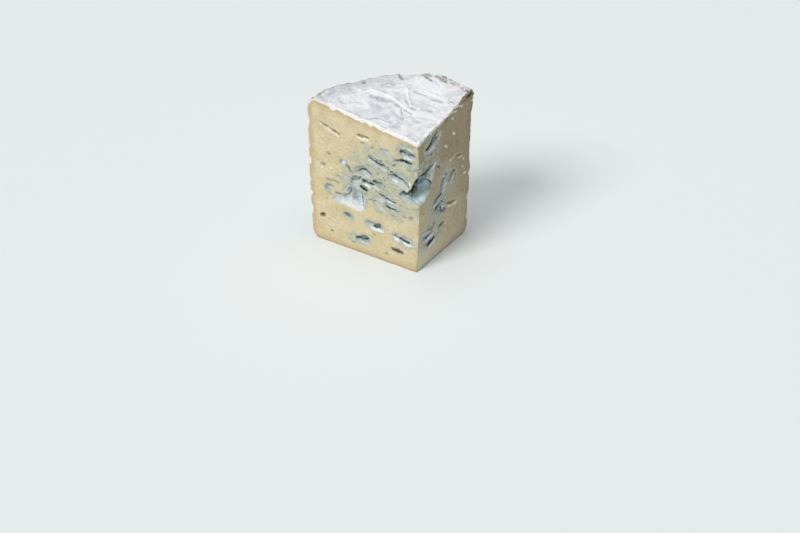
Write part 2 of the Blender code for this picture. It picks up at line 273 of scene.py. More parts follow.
LEFT_STREAKS = (
    Streak(14.5, 97.6, 3.0, 96.3, 2.2, "dark"),
    Streak(14.5, 102.3, 4.0, 102.2, 1.1, "faint"),
    Streak(13.0, 100.0, 4.0, 99.4, 2.0, "pale"),
    Streak(12.5, 93.4, 6.0, 92.6, 4.4, "pale"),
    Streak(10.5, 93.4, 7.0, 92.8, 2.4, "white"),
    Streak(14.0, 90.2, 5.5, 89.6, 1.6, "slit"),
    Streak(20.5, 87.6, 14.0, 89.8, 1.1, "dark"),
    Streak(21.0, 83.4, 19.5, 84.8, 1.9, "dark"),
    Streak(9.3, 83.0, 6.5, 83.6, 1.9, "olive"),
    Streak(4.0, 84.0, 0.0, 86.5, 1.6, "grey"),
    Streak(42.0, 84.8, 31.0, 81.6, 1.2, "dark"),
    Streak(36.0, 82.8, 28.5, 80.8, 1.0, "slit"),
    Streak(31.0, 81.4, 23.5, 79.6, 1.0, "dark"),
    Streak(42.5, 82.3, 37.0, 80.8, 2.4, "pale"),
    Streak(37.0, 79.4, 26.0, 77.4, 1.8, "pale"),
    Streak(23.5, 78.4, 19.0, 76.5, 1.1, "dark"),
    Streak(19.5, 76.4, 12.3, 74.6, 1.5, "slit"),
    Streak(12.3, 74.4, 7.5, 70.2, 1.2, "dark"),
    Streak(22.0, 73.6, 9.0, 67.4, 4.8, "pale"),
    Streak(21.0, 72.6, 18.0, 71.0, 2.4, "white"),
    Streak(7.8, 73.4, 6.4, 71.8, 1.4, "cream"),
    Streak(14.0, 61.6, 10.5, 60.5, 3.0, "pale"),
    Streak(50.5, 70.4, 47.8, 73.0, 1.4, "dark"),
    Streak(47.8, 73.0, 43.5, 73.3, 1.7, "dark"),
    Streak(43.5, 73.3, 39.6, 70.4, 1.6, "dark"),
    Streak(46.5, 69.5, 41.5, 68.6, 3.4, "pale"),
    Streak(46.8, 63.3, 44.0, 64.6, 1.6, "slit"),
    Streak(44.0, 64.6, 38.0, 62.6, 1.5, "slit"),
    Streak(37.0, 65.6, 30.5, 66.2, 1.1, "dark"),
    Streak(38.5, 61.3, 33.5, 60.3, 2.4, "pale"),
    Streak(45.8, 61.0, 41.2, 60.0, 2.2, "white"),
    Streak(49.3, 58.0, 43.6, 56.4, 2.0, "slit"),
    Streak(60.5, 71.6, 57.0, 67.4, 1.5, "dark"),
    Streak(57.0, 67.3, 50.5, 70.4, 1.1, "faint"),
    Streak(57.6, 58.6, 55.5, 62.2, 1.4, "dark"),
    Streak(55.5, 62.2, 51.5, 63.0, 1.3, "dark"),
    Streak(51.5, 63.0, 49.6, 65.6, 1.3, "slit"),
    Streak(56.0, 59.8, 51.5, 59.4, 3.6, "grey"),
    Streak(55.0, 58.2, 51.5, 58.0, 1.8, "pale"),
    Streak(64.9, 73.4, 64.2, 73.0, 2.2, "chalk"),
    Streak(62.5, 74.9, 62.2, 71.8, 1.4, "dark"),
    Streak(67.0, 74.6, 65.5, 70.9, 1.1, "faint"),
    Streak(33.5, 56.9, 27.0, 55.2, 1.3, "dark"),
    Streak(27.0, 55.2, 19.3, 53.5, 1.5, "slit"),
    Streak(25.5, 52.9, 21.5, 52.4, 1.1, "white"),
    Streak(34.5, 51.8, 23.0, 51.0, 2.8, "pale"),
    Streak(27.5, 48.5, 20.5, 47.8, 1.7, "slit"),
    Streak(20.5, 47.8, 16.6, 46.4, 1.3, "dark"),
    Streak(42.0, 49.2, 36.0, 50.4, 1.0, "faint"),
    Streak(37.6, 48.9, 34.8, 48.0, 1.8, "white"),
    Streak(32.8, 44.6, 28.3, 42.6, 2.8, "pale"),
    Streak(36.0, 42.0, 30.5, 41.3, 0.9, "faint"),
    Streak(20.0, 45.2, 16.0, 44.6, 0.9, "faint"),
    # Painted shade at the top of the white bowl
    Streak(56.2, 54.4, 49.5, 53.0, 2.4, "grey"),
    Streak(55.5, 50.0, 49.5, 41.5, 9.0, "bowl"),
    Streak(57.0, 47.0, 50.0, 38.5, 4.6, "chalk"),
    Streak(72.0, 41.6, 50.0, 37.6, 5.0, "chalk"),
    Streak(72.5, 45.3, 64.8, 45.8, 1.2, "dark"),
    Streak(64.8, 45.8, 59.8, 48.2, 1.3, "dark"),
    Streak(59.8, 48.2, 57.6, 52.5, 1.3, "dark"),
    Streak(48.6, 54.0, 47.6, 41.5, 1.1, "dark"),
    Streak(46.0, 52.0, 45.6, 42.0, 1.3, "faint"),
    Streak(49.8, 44.0, 47.3, 38.0, 2.0, "white"),
    Streak(69.5, 60.9, 66.5, 60.0, 1.0, "olive"),
    Streak(72.5, 60.0, 69.5, 60.9, 0.9, "faint"),
    Streak(81.0, 55.2, 76.7, 54.4, 1.8, "olive"),
    Streak(75.3, 55.4, 69.0, 55.4, 1.4, "olive"),
    Streak(81.0, 46.2, 77.2, 46.8, 2.4, "grey"),
    Streak(79.8, 50.5, 75.8, 50.2, 1.1, "dark"),
    Streak(80.0, 43.8, 76.5, 43.6, 0.9, "faint"),
    Streak(84.6, 101.2, 67.6, 95.7, 0.9, "brown"),
    Streak(84.4, 99.4, 68.0, 94.0, 2.2, "cream"),
    Streak(50.3, 99.7, 41.8, 99.9, 1.0, "brown"),
    Streak(50.0, 97.4, 42.0, 97.5, 2.2, "cream"),
    Streak(48.6, 94.1, 46.0, 94.1, 1.2, "olive"),
    Streak(39.0, 92.6, 38.4, 92.8, 2.7, "olive"),
    Streak(28.4, 92.6, 27.4, 92.6, 3.0, "pale"),
    Streak(78.8, 77.6, 76.0, 77.0, 1.7, "olive"),
    Streak(84.8, 66.6, 81.4, 66.8, 2.3, "olive"),
    Streak(84.8, 63.9, 83.6, 63.8, 1.7, "cream"),
    Streak(76.5, 65.0, 73.8, 66.0, 1.2, "cream"),
    Streak(12.6, 44.0, 11.4, 44.0, 2.6, "olive"),
    Streak(7.8, 44.0, 5.6, 44.6, 2.2, "olive"),
    Streak(15.4, 52.0, 14.4, 52.0, 2.0, "olive"),
    Streak(5.5, 52.4, 1.0, 53.4, 1.0, "olive"),
    Streak(43.4, 30.2, 37.0, 28.8, 1.6, "faint"),
    Streak(36.6, 28.2, 32.4, 29.2, 3.0, "slit"),
    Streak(33.6, 30.0, 33.0, 30.4, 1.8, "slit"),
    Streak(40.6, 25.4, 30.6, 25.2, 3.0, "white"),
    Streak(62.5, 30.0, 59.5, 29.0, 1.5, "dark"),
    Streak(20.0, 25.8, 15.5, 24.9, 1.0, "dark"),
    Streak(15.5, 24.9, 7.3, 23.3, 1.7, "slit"),
    Streak(20.0, 23.4, 16.2, 22.2, 2.2, "white"),
    Streak(12.0, 21.6, 6.3, 20.6, 2.1, "white"),
    Streak(38.6, 20.2, 36.8, 20.8, 1.3, "olive"),
    Streak(56.0, 14.6, 53.0, 12.6, 0.9, "faint"),
    Streak(53.3, 12.4, 48.0, 13.4, 1.5, "slit"),
    Streak(48.0, 13.4, 43.0, 15.0, 1.5, "slit"),
    Streak(57.0, 11.8, 44.0, 10.0, 3.2, "pale"),
    Streak(53.2, 9.7, 48.5, 9.2, 1.8, "grey"),
    Streak(57.5, 7.4, 54.5, 7.6, 1.2, "faint"),
    Streak(22.7, 14.0, 20.5, 13.0, 0.9, "brown"),
    Streak(20.7, 12.9, 14.8, 12.9, 1.2, "slit"),
    Streak(14.8, 12.8, 12.0, 11.6, 0.9, "brown"),
    Streak(78.2, 10.4, 76.0, 10.6, 1.4, "brown"),
    Streak(27.5, 7.3, 26.5, 7.3, 1.9, "olive"),
    Streak(5.0, 66.5, -1.0, 76.5, 4.0, "grey"),
    Streak(12.6, 60.4, 3.0, 60.4, 6.0, "bowl"),
    Streak(6.0, 58.6, -1.0, 58.6, 3.6, "bowl"),
    # The cave's painted shadow under its upper lip, on the left face
    Streak(12.8, 64.8, 8.4, 64.2, 1.9, "slit"),
    Streak(8.4, 64.2, 5.4, 68.6, 1.5, "slit"),
    Streak(5.4, 68.6, 3.0, 74.4, 1.3, "slit"),
    Streak(3.0, 74.4, -1.0, 81.0, 1.3, "slit"),
    # Painted highlights along the slits, on their slightly raised edges
    Streak(46.6, 65.6, 41.6, 65.2, 0.9, "white"),
    Streak(47.6, 59.4, 45.0, 58.8, 0.8, "white"),
    Streak(18.0, 77.0, 13.6, 75.6, 0.8, "white"),
    Streak(26.0, 55.9, 21.0, 54.6, 0.8, "white"),
    Streak(24.6, 49.5, 19.0, 48.6, 0.8, "white"),
)

RIGHT_STREAKS = (
    Streak(10.5, 97.0, 18.0, 100.4, 1.6, "slit"),
    Streak(18.0, 101.4, 25.0, 105.4, 2.4, "dark"),
    Streak(13.5, 93.6, 29.5, 102.2, 3.8, "pale"),
    Streak(15.5, 95.0, 29.0, 101.4, 2.0, "white"),
    Streak(20.0, 92.4, 22.0, 94.4, 1.6, "white"),
    Streak(14.0, 91.6, 21.0, 91.2, 1.6, "faint"),
    Streak(18.5, 91.0, 22.0, 92.5, 2.2, "faint"),
    Streak(1.0, 84.6, 5.0, 82.6, 2.0, "pale"),
    Streak(5.0, 83.0, 10.0, 85.4, 1.8, "faint"),
    # The cave's painted shadow under its upper lip, on the right face
    Streak(-1.0, 80.2, 9.0, 80.3, 1.6, "slit"),
    Streak(9.0, 80.5, 20.0, 81.6, 1.4, "slit"),
    Streak(-1.0, 77.0, 11.0, 75.6, 4.0, "grey"),
    Streak(13.0, 77.0, 23.5, 80.4, 2.4, "white"),
    Streak(16.4, 76.6, 18.4, 71.4, 3.0, "white"),
    Streak(25.0, 83.0, 26.5, 83.6, 2.0, "dark"),
    Streak(24.5, 79.0, 30.0, 74.6, 2.2, "dark"),
    Streak(30.0, 74.6, 36.0, 76.0, 1.6, "faint"),
    Streak(12.0, 76.6, 24.0, 80.6, 3.4, "pale"),
    Streak(14.0, 74.6, 19.0, 71.0, 4.0, "pale"),
    Streak(20.0, 79.0, 18.5, 71.0, 4.0, "pale"),
    Streak(13.0, 74.6, 17.8, 70.0, 1.3, "white"),
    Streak(11.5, 73.4, 18.4, 66.6, 1.1, "slit"),
    Streak(39.5, 66.4, 32.0, 60.6, 1.6, "dark"),
    Streak(32.0, 60.6, 31.0, 54.0, 1.3, "dark"),
    Streak(38.5, 62.4, 33.0, 54.6, 3.6, "pale"),
    Streak(33.0, 56.0, 38.0, 57.8, 2.4, "white"),
    Streak(36.6, 53.6, 34.0, 51.8, 1.4, "white"),
    Streak(34.6, 65.4, 38.0, 63.6, 1.2, "white"),
    Streak(53.0, 61.6, 48.0, 64.0, 1.2, "dark"),
    Streak(53.4, 60.5, 51.0, 54.5, 1.2, "dark"),
    Streak(46.0, 61.0, 44.0, 56.0, 1.3, "faint"),
    Streak(49.5, 60.0, 47.0, 56.0, 2.2, "pale"),
    Streak(34.0, 53.4, 28.5, 49.6, 1.7, "slit"),
    Streak(22.4, 46.6, 31.4, 50.4, 1.5, "white"),
    Streak(47.4, 57.4, 52.4, 62.4, 1.2, "white"),
    Streak(29.0, 52.4, 25.0, 47.6, 1.4, "dark"),
    Streak(30.0, 47.0, 21.0, 45.4, 2.2, "pale"),
    Streak(24.5, 48.8, 20.0, 46.6, 1.2, "dark"),
    Streak(24.5, 43.0, 29.5, 43.6, 1.4, "slit"),
    Streak(26.0, 40.6, 37.0, 38.2, 4.6, "pale"),
    Streak(28.6, 42.0, 33.6, 38.6, 2.4, "white"),
    Streak(33.6, 36.4, 38.6, 35.0, 1.2, "white"),
    Streak(31.0, 41.4, 34.6, 35.4, 1.2, "slit"),
    Streak(36.2, 38.4, 37.6, 33.6, 1.2, "dark"),
    Streak(41.0, 39.9, 46.2, 37.6, 1.5, "brown"),
    Streak(42.5, 36.6, 54.5, 34.2, 3.0, "cream"),
    Streak(61.0, 42.0, 66.0, 38.0, 2.0, "olive"),
    Streak(58.0, 46.0, 62.0, 44.6, 1.4, "olive"),
    Streak(44.2, 73.8, 48.8, 76.2, 2.2, "cream"),
    Streak(51.5, 74.8, 60.0, 73.4, 1.2, "faint"),
    Streak(52.5, 72.2, 60.5, 70.8, 2.4, "cream"),
    Streak(62.6, 67.8, 63.8, 67.0, 1.8, "cream"),
    Streak(62.2, 61.4, 62.8, 60.4, 1.8, "cream"),
    Streak(64.0, 55.0, 67.5, 53.6, 1.8, "cream"),
    Streak(45.0, 108.0, 47.0, 107.0, 1.6, "cream"),
    Streak(36.0, 89.5, 40.0, 87.0, 1.6, "cream"),
    Streak(47.0, 96.0, 50.0, 93.0, 1.5, "cream"),
    Streak(5.0, 30.8, 10.5, 29.8, 1.9, "faint"),
    Streak(6.5, 28.2, 17.0, 26.9, 3.4, "white"),
    Streak(11.5, 24.2, 19.2, 25.9, 1.7, "slit"),
    Streak(11.0, 21.9, 21.6, 22.4, 3.0, "white"),
    Streak(14.0, 16.6, 23.4, 18.8, 1.9, "slit"),
    Streak(16.0, 14.2, 25.6, 15.4, 3.2, "white"),
    Streak(31.5, 24.0, 35.0, 24.9, 1.6, "dark"),
    Streak(38.3, 23.7, 40.0, 23.0, 1.6, "cream"),
    Streak(24.0, 32.0, 22.0, 29.0, 1.3, "dark"),
    Streak(27.0, 35.0, 26.0, 31.0, 1.2, "pale"),
    # A painted shadow in the top corner under the rind, brown with dark over it
    Streak(62.0, 114.6, 73.0, 117.0, 3.0, "brown"),
    Streak(66.6, 115.8, 73.0, 117.4, 2.8, "shadow"),
    Streak(45.0, 112.6, 52.0, 111.0, 1.4, "cream"),
    Streak(55.0, 113.6, 60.0, 111.6, 1.4, "cream"),
)


class Fold(NamedTuple):
    """A ridge or a crease of the rind on top, in millimetres, and its tint.

    It runs from one place to another, each so far across to the right and so far in from
    the tip. One with a positive height stands up.
    """

    across: float
    into: float
    to_across: float
    to_into: float
    width: float
    height: float
    tint: str


# Which share each tint of a fold raises, and how far: bright paints a highlight on a ridge, soft
# and grey paint shade in a crease
TINTS = {
    "bright": ("bright", 0.7),
    "soft": ("crease", 0.45),
    "grey": ("crease", 1.0),
    "pink": ("blush", 0.3),
    "blush": ("blush", 0.75),
    "brown": ("blush", 1.0),
    "torn": ("torn", 1.0),
}

TOP_FOLDS = (
    Fold(-17, 46, -8, 27, 20, -0.9, "soft"),
    Fold(2, 27, 9, 23, 7, -0.4, "soft"),
    Fold(-47, 63, -42, 50, 5, -0.4, "soft"),
    Fold(-43, 49, -33, 38, 3.4, -0.5, "soft"),
    Fold(-49, 63.2, -35, 60.8, 1.6, 0.5, "bright"),
    Fold(-35, 60.8, -29.7, 62.8, 1.6, 0.5, "bright"),
    Fold(-29.7, 62.8, -21, 64.0, 2.0, 0.7, "bright"),
    Fold(-21, 64.0, -14, 59.2, 3.0, 1.2, "bright"),
    Fold(-14, 59.2, -6.8, 52.8, 3.0, 1.2, "bright"),
    Fold(-6.8, 52.8, -3.2, 45.8, 2.6, 1.0, "bright"),
    Fold(-3.2, 45.8, 1.5, 38.0, 2.0, 0.8, "bright"),
    Fold(1.5, 38.0, 4.6, 34.2, 1.6, 0.5, "bright"),
    Fold(-21.5, 57.8, -14.2, 53.4, 3.2, -0.9, "grey"),
    Fold(-14.2, 53.4, -7.2, 48.4, 3.0, -0.9, "grey"),
    Fold(-7.2, 48.4, -3.6, 41.4, 1.8, -0.6, "grey"),
    Fold(-3.6, 41.4, -4.2, 30, 1.2, -0.5, "grey"),
    Fold(-4.2, 30, -5.2, 23, 1.2, -0.4, "soft"),
    Fold(-1.3, 38.7, 2.8, 32.8, 1.3, -0.7, "grey"),
    Fold(3.7, 67.8, 5.3, 60.3, 1.6, 0.5, "bright"),
    Fold(5.3, 60.3, 4.3, 53.0, 1.5, 0.6, "bright"),
    Fold(4.3, 53.0, 4.2, 43.5, 1.5, 0.6, "bright"),
    Fold(4.2, 43.5, 9.5, 38.0, 1.6, 0.5, "bright"),
    Fold(2.0, 49.0, 2.6, 43.7, 1.8, -1.0, "grey"),
    Fold(-1.3, 57.0, -2.2, 48.7, 2.4, -0.4, "soft"),
    Fold(5.0, 39.2, 6.0, 38.2, 2.6, -1.2, "grey"),
    Fold(16.6, 34.4, 17.0, 34.0, 2.4, -1.1, "grey"),
    Fold(10.3, 57.8, 15.3, 52.8, 1.8, -0.8, "grey"),
    Fold(15.3, 52.8, 21.2, 47.0, 1.8, -0.9, "grey"),
    Fold(21.2, 47.0, 27.0, 41.6, 2.0, -0.6, "grey"),
    Fold(17.8, 57.0, 22.8, 51.2, 1.8, 0.6, "bright"),
    Fold(22.8, 51.2, 31.0, 43.0, 1.6, 0.5, "bright"),
    Fold(-11.3, 69.5, -2.2, 68.2, 2.0, -0.6, "grey"),
    Fold(-2.2, 68.2, -9, 65, 1.4, -0.3, "soft"),
    Fold(20.3, 73.8, 24.5, 68.0, 1.7, -1.6, "brown"),
    Fold(24.5, 68.0, 28.9, 61.8, 1.6, -1.2, "grey"),
    Fold(23.5, 74.0, 31.0, 64.5, 2.0, 1.0, "pink"),
    Fold(27.3, 74.6, 31.0, 69.4, 1.7, -1.7, "brown"),
    Fold(31.0, 69.4, 35.4, 62.8, 1.6, -1.4, "blush"),
    Fold(30.4, 73.4, 36.5, 65.0, 1.6, 0.8, "bright"),
    Fold(33.0, 73.0, 37.5, 66.0, 1.6, -0.7, "blush"),
    Fold(-32, 71, -28.8, 65.3, 3.4, 0.6, "bright"),
    Fold(-35, 58, -33.4, 55.4, 1.3, -0.4, "soft"),
    Fold(-38, 53.8, -30, 52.6, 2.2, -0.5, "soft"),
    Fold(-30, 52.6, -27.5, 47, 1.6, -0.4, "soft"),
    Fold(-28.5, 34, -20, 32.6, 1.3, -0.6, "grey"),
    Fold(-20, 32.6, -13.5, 27.2, 1.3, -0.6, "grey"),
    Fold(31, 73.5, 38, 66, 6.0, 1.6, "soft"),
    Fold(-24, 75.4, -23.4, 74.2, 3.0, -1.2, "brown"),
    Fold(-28.5, 74, -20.5, 71.6, 3.0, -0.3, "pink"),
    Fold(3.4, 77, 4.1, 72.0, 1.8, -0.8, "brown"),
    Fold(-6, 74, 12, 72.6, 5, 0.2, "pink"),
    Fold(-56.5, 64, -52.0, 69.0, 4.4, -0.4, "pink"),
    Fold(-49.5, 66, -46.5, 69.5, 3.0, -0.5, "pink"),
    Fold(-56.5, 65.5, -52.5, 69.0, 2.4, -0.2, "torn"),
    Fold(30.5, 43.4, 33.0, 46.6, 1.4, 0.5, "torn"),
    Fold(33.0, 46.6, 38.5, 46.2, 1.4, 0.5, "torn"),
    Fold(38.5, 46.2, 42.5, 43.2, 1.4, 0.5, "torn"),
    Fold(43.0, 45.2, 47.5, 46.4, 1.8, 0.4, "torn"),
    Fold(34.0, 41.8, 37.0, 39.0, 4.6, -0.5, "pink"),
)
FOLD_SEEN_FROM = -8.0
BROAD_FOLD = 5.0


class Lobe(NamedTuple):
    """A lobe of the cave at the tip, in millimetres, seen squarely from the tip.

    Its middle is so far across to the right, so far into the wedge and so far up. A
    positive tilt rises to the right.
    """

    across: float
    into: float
    up: float
    length: float
    height: float
    depth: float
    tilt: float


TIP_LOBES = (
    Lobe(4.0, 4.0, 67.0, 26, 19, 26, 20),
    Lobe(6.0, 4.0, 75.5, 26, 12.5, 25, 14),
    Lobe(-7.0, 7.5, 62.5, 13, 6.0, 12, 18),
)


# Random values


def smooth_noise(points, size, seed):
    """Smooth values of about -1 to 1, one for each point, in lumps of about that size."""
    side = 32
    slopes = np.random.default_rng(seed).normal(size=(side, side, side, 3))
    slopes /= np.linalg.norm(slopes, axis=3, keepdims=True)
    cell = points / size
    base = np.floor(cell).astype(int)
    part = cell - base
    fade = part**3 * (part * (part * 6 - 15) + 10)
    total = np.zeros(len(points))
    for corner in itertools.product((0, 1), repeat=3):
        weight = np.prod(np.where(corner, fade, 1 - fade), axis=1)
        index = (base + corner) % side
        slope = slopes[index[:, 0], index[:, 1], index[:, 2]]
        total += weight * ((part - corner) * slope).sum(axis=1)
    return total * 1.6


def rough_noise(points, size, seed, octaves=3, keep=0.5):
    """Smooth noise with finer noise over it: each octave has half the lump size."""
    total = np.zeros(len(points))
    for octave in range(octaves):
        total += keep**octave * smooth_noise(points, size / 2**octave, seed + 101 * octave)
    return total


def mixed(shares, name, places, values):
    """Raises a share at some places to the values there."""
    shares[name][places] = np.maximum(shares[name][places], values)


def smooth_step(values, low, high):
    """0 where the values are at low, 1 where they are at high, and smooth between."""
    share = np.clip((values - low) / (high - low), 0, 1)
    return share * share * (3 - 2 * share)


# The drum


def drum_centre():
    """The drum's centre in the corner's frame: one radius from both cuts' ends."""
    chord = math.hypot(LEFT_CUT, RIGHT_CUT)
    back = math.sqrt(DRUM_RADIUS**2 - (chord / 2) ** 2)
    return Vector(
        (
            RIGHT_CUT / 2 - back * LEFT_CUT / chord,
            LEFT_CUT / 2 - back * RIGHT_CUT / chord,
            0,
        )
    )


CENTRE = drum_centre()


def rim_at(angles):
    """How far the rim has spread and risen at each angle, in degrees."""
    edges = np.array([rim.angle for rim in RIMS], float)
    values = np.array([(rim.spread, rim.rise) for rim in RIMS])
    inside = (angles >= edges[0]) & (angles < edges[-1])
    first = np.clip(np.searchsorted(edges, angles, "right") - 1, 0, len(RIMS) - 2)
    share = smooth_step(angles, edges[first], edges[first + 1])[:, None]
    found = values[first] + (values[first + 1] - values[first]) * share
    return (found * inside[:, None]).T


def corner_to_part():
    """The matrix from the corner's frame, in millimetres, to the part's, in metres.

    The tip's foot is where the middle of the footprint's box comes to the part's origin.
    """
    low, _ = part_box(NODE)
    left_end = math.degrees(math.atan2(LEFT_CUT - CENTRE.y, -CENTRE.x))
    right_end = math.degrees(math.atan2(-CENTRE.y, RIGHT_CUT - CENTRE.x))
    spread, _ = rim_at(np.array((left_end, right_end)))
    longer = LEFT_CUT + spread[0] - RIGHT_CUT - spread[1]
    tip = Vector((longer / 2 * math.sin(CORNER_TURN) * MM, low.y, 0))
    return Matrix.Translation(tip) @ Matrix.Rotation(CORNER_TURN, 4, "Z") @ Matrix.Scale(MM, 4)


def local_height(x, y):
    """Height of the cheese's top over a point of the plan."""
    return TIP_HEIGHT + RIGHT_RISE * x + LEFT_RISE * y


def polar(points):
    """Distance and angle of each point from the drum's centre, in plan."""
    out = points[:, :2] - np.array(CENTRE.xy)
    return np.hypot(out[:, 0], out[:, 1]), np.arctan2(out[:, 1], out[:, 0])


def sunk_and_spread(points):
    """Where points of the turned drum lie once its top has sunk and its rim spread."""
    radius, angle = polar(points)
    spread, rise = rim_at(np.degrees(angle))
    share = radius / DRUM_RADIUS
    push = spread * smooth_step(points[:, 2] / TIP_HEIGHT, SPREAD_FROM, 1) * share**2
    height = local_height(points[:, 0], points[:, 1]) + rise * smooth_step(share, RISE_FROM, 1)
    return np.stack(
        (
            points[:, 0] + push * np.cos(angle),
            points[:, 1] + push * np.sin(angle),
            points[:, 2] * height / TIP_HEIGHT,
        ),
        axis=1,
    )


def on_turned_drum(points):
    """The radius and height that each point had before the top sank and the rim spread."""
    moved, angle = polar(points)
    spread, rise = rim_at(np.degrees(angle))
    radius = moved
    for _ in range(3):
        share = radius / DRUM_RADIUS
        x = CENTRE.x + radius * np.cos(angle)
        y = CENTRE.y + radius * np.sin(angle)
        height = local_height(x, y) + rise * smooth_step(share, RISE_FROM, 1)
        level = points[:, 2] * TIP_HEIGHT / height
        radius = moved - spread * smooth_step(level / TIP_HEIGHT, SPREAD_FROM, 1) * share**2
    return radius, level


def spaced(start, end):
    """Distances from start up to, but without, end."""
    count = max(1, round(abs(end - start) / PROFILE_SPACING))
    return [start + (end - start) * i / count for i in range(count)]


def arc(centre_r, centre_z, radius, first, last, count=10):
    """Points on a rounded edge, from the first angle to the last, both included."""
    angles = [math.radians(first + (last - first) * i / count) for i in range(count + 1)]
    return [(centre_r + radius * math.cos(a), centre_z + radius * math.sin(a)) for a in angles]


def drum_profile():
    """Half section of the drum, from the top's middle over the rim and down to the base."""
    top_flat = DRUM_RADIUS - TOP_SHOULDER
    foot_flat = DRUM_RADIUS - FOOT_SHOULDER
    wall_top = TIP_HEIGHT - TOP_SHOULDER
    top = [(r, TIP_HEIGHT) for r in spaced(0, top_flat)]
    rim = arc(top_flat, wall_top, TOP_SHOULDER, 90, 0)
    wall = []
    for z in spaced(wall_top, FOOT_SHOULDER)[1:]:
        share = (z - FOOT_SHOULDER) / (wall_top - FOOT_SHOULDER)
        wall.append((DRUM_RADIUS + WALL_BULGE * math.sin(math.pi * share), z))
    foot = arc(foot_flat, FOOT_SHOULDER, FOOT_SHOULDER, 0, -90)
    base = [(r, 0) for r in spaced(foot_flat, 0)[1:]] + [(0, 0)]
    return top + rim + wall + foot + base


def object_from(mesh, name):
    obj = bpy.data.objects.new(name, mesh)
    bpy.context.scene.collection.objects.link(obj)
    return obj


def with_modifiers(obj, name):
    """The object's mesh with its modifiers applied. The object itself is removed."""
    graph = bpy.context.evaluated_depsgraph_get()
    mesh = bpy.data.meshes.new_from_object(obj.evaluated_get(graph))
    mesh.name = name
    bpy.data.objects.remove(obj)
    return mesh


def vertex_array(mesh):
    values = np.empty(len(mesh.vertices) * 3, np.float32)
    mesh.vertices.foreach_get("co", values)
    return values.reshape(-1, 3).astype(float)


def normal_array(mesh):
    values = np.empty(len(mesh.vertices) * 3, np.float32)
    mesh.vertex_normals.foreach_get("vector", values)
    return values.reshape(-1, 3).astype(float)


def make_drum():
    """The whole drum, turned from its profile and tilted at the top."""
    profile = bpy.data.meshes.new("drum_profile")
    points = [(r, 0, z) for r, z in drum_profile()]
    profile.from_pydata(points, [(i, i + 1) for i in range(len(points) - 1)], [])
    turned = object_from(profile, "turned_profile")
    screw = turned.modifiers.new("Turn", "SCREW")
    screw.steps = DRUM_STEPS
    screw.render_steps = DRUM_STEPS
    screw.use_merge_vertices = True
    screw.merge_threshold = 0.0001
    mesh = with_modifiers(turned, "drum")
    mesh.transform(Matrix.Translation(CENTRE))
    moved = sunk_and_spread(vertex_array(mesh))
    mesh.vertices.foreach_set("co", moved.astype(np.float32).ravel())
    return mesh


def quarter_block():
    """A block with its corner edge at the tip and two sides in the cuts."""
    side = DRUM_RADIUS * 2.4
    below = 20
    mesh = bpy.data.meshes.new("quarter_block")
    shape = bmesh.new()
    middle = Vector((side / 2, side / 2, side / 2 - below))
    bmesh.ops.create_cube(shape, size=side, matrix=Matrix.Translation(middle))
    shape.to_mesh(mesh)
    shape.free()
    return mesh


# Hollows


class Cutter(NamedTuple):
    """An ellipsoid with a ragged wall: three directions, half sizes, and what lines it."""

    kind: Kind
    hollow: Hollow
    axes: tuple
    middle: Vector
    half_sizes: tuple
    ragged: float
    seed: int


def turned(first, second, angle):
    """Two directions at right angles, turned so that the first moves to the second."""
    return (
        first * math.cos(angle) + second * math.sin(angle),
        second * math.cos(angle) - first * math.sin(angle),
    )


def face_cutter(hollow, side, inward, seed):
    """The cutter of a hollow on the face that runs from the tip in direction side."""
    long_way, cross_way = turned(side, UP, math.radians(hollow.tilt))
    deep_way, cross_way = turned(inward, cross_way, LEAN)
    half_sizes = (hollow.length / 2, hollow.width / 2, hollow.depth)
    middle = side * hollow.along + UP * hollow.up + inward * hollow.depth * SUNK
    axes = (long_way, cross_way, deep_way)
    return Cutter(KINDS[hollow.kind], hollow, axes, middle, half_sizes, RAGGED, seed)


def lobe_cutter(lobe, seed):
    """The cutter of one lobe of the cave at the tip."""
    across = (RIGHT - LEFT).normalized()
    into = (RIGHT + LEFT).normalized()
    long_way, high_way = turned(across, UP, math.radians(lobe.tilt))
    half_sizes = (lobe.length / 2, lobe.height / 2, lobe.depth / 2)
    middle = across * lobe.across + into * lobe.into + UP * lobe.up
    axes = (long_way, high_way, into)
    return Cutter(KINDS["cave"], None, axes, middle, half_sizes, CAVE_RAGGED, seed)


def all_cutters():
    """Cutters of the hollows on both cut faces and of the cave at the tip."""
    cutters = []
    for hollow in LEFT_HOLLOWS:
        cutters.append(face_cutter(hollow, LEFT, RIGHT, len(cutters)))
    for hollow in RIGHT_HOLLOWS:
        cutters.append(face_cutter(hollow, RIGHT, LEFT, len(cutters)))
    for number, lobe in enumerate(TIP_LOBES):
        cutters.append(lobe_cutter(lobe, -1 - number))
    return cutters


CUTTERS = all_cutters()


def cutter_mesh(cutter, name):
    """A cutter's ellipsoid, with its wall pushed in and out."""
    mesh = bpy.data.meshes.new(name)
    shape = bmesh.new()
    bmesh.ops.create_icosphere(shape, subdivisions=4, radius=1)
    shift = Vector((cutter.seed * 3.7, cutter.seed * 1.9, cutter.seed * 5.3))
    for vertex in shape.verts:
        scaled = Vector(a * b for a, b in zip(vertex.co, cutter.half_sizes))
        push = noise.noise(scaled / RAGGED_SIZE + shift)
        push += 0.25 * noise.noise(scaled / RAGGED_SIZE * 3 + shift)
        scaled *= 1 + cutter.ragged * push
        turned_parts = (axis * reach for axis, reach in zip(cutter.axes, scaled))
        vertex.co = cutter.middle + sum(turned_parts, Vector())
    if cutter.axes[0].cross(cutter.axes[1]).dot(cutter.axes[2]) < 0:
        bmesh.ops.reverse_faces(shape, faces=shape.faces)
    shape.to_mesh(mesh)
    shape.free()
    return mesh


def add_boolean(obj, name, operation, target):
    boolean = obj.modifiers.new(name, "BOOLEAN")
    boolean.operation = operation
    boolean.solver = "MANIFOLD"
    boolean.object = target


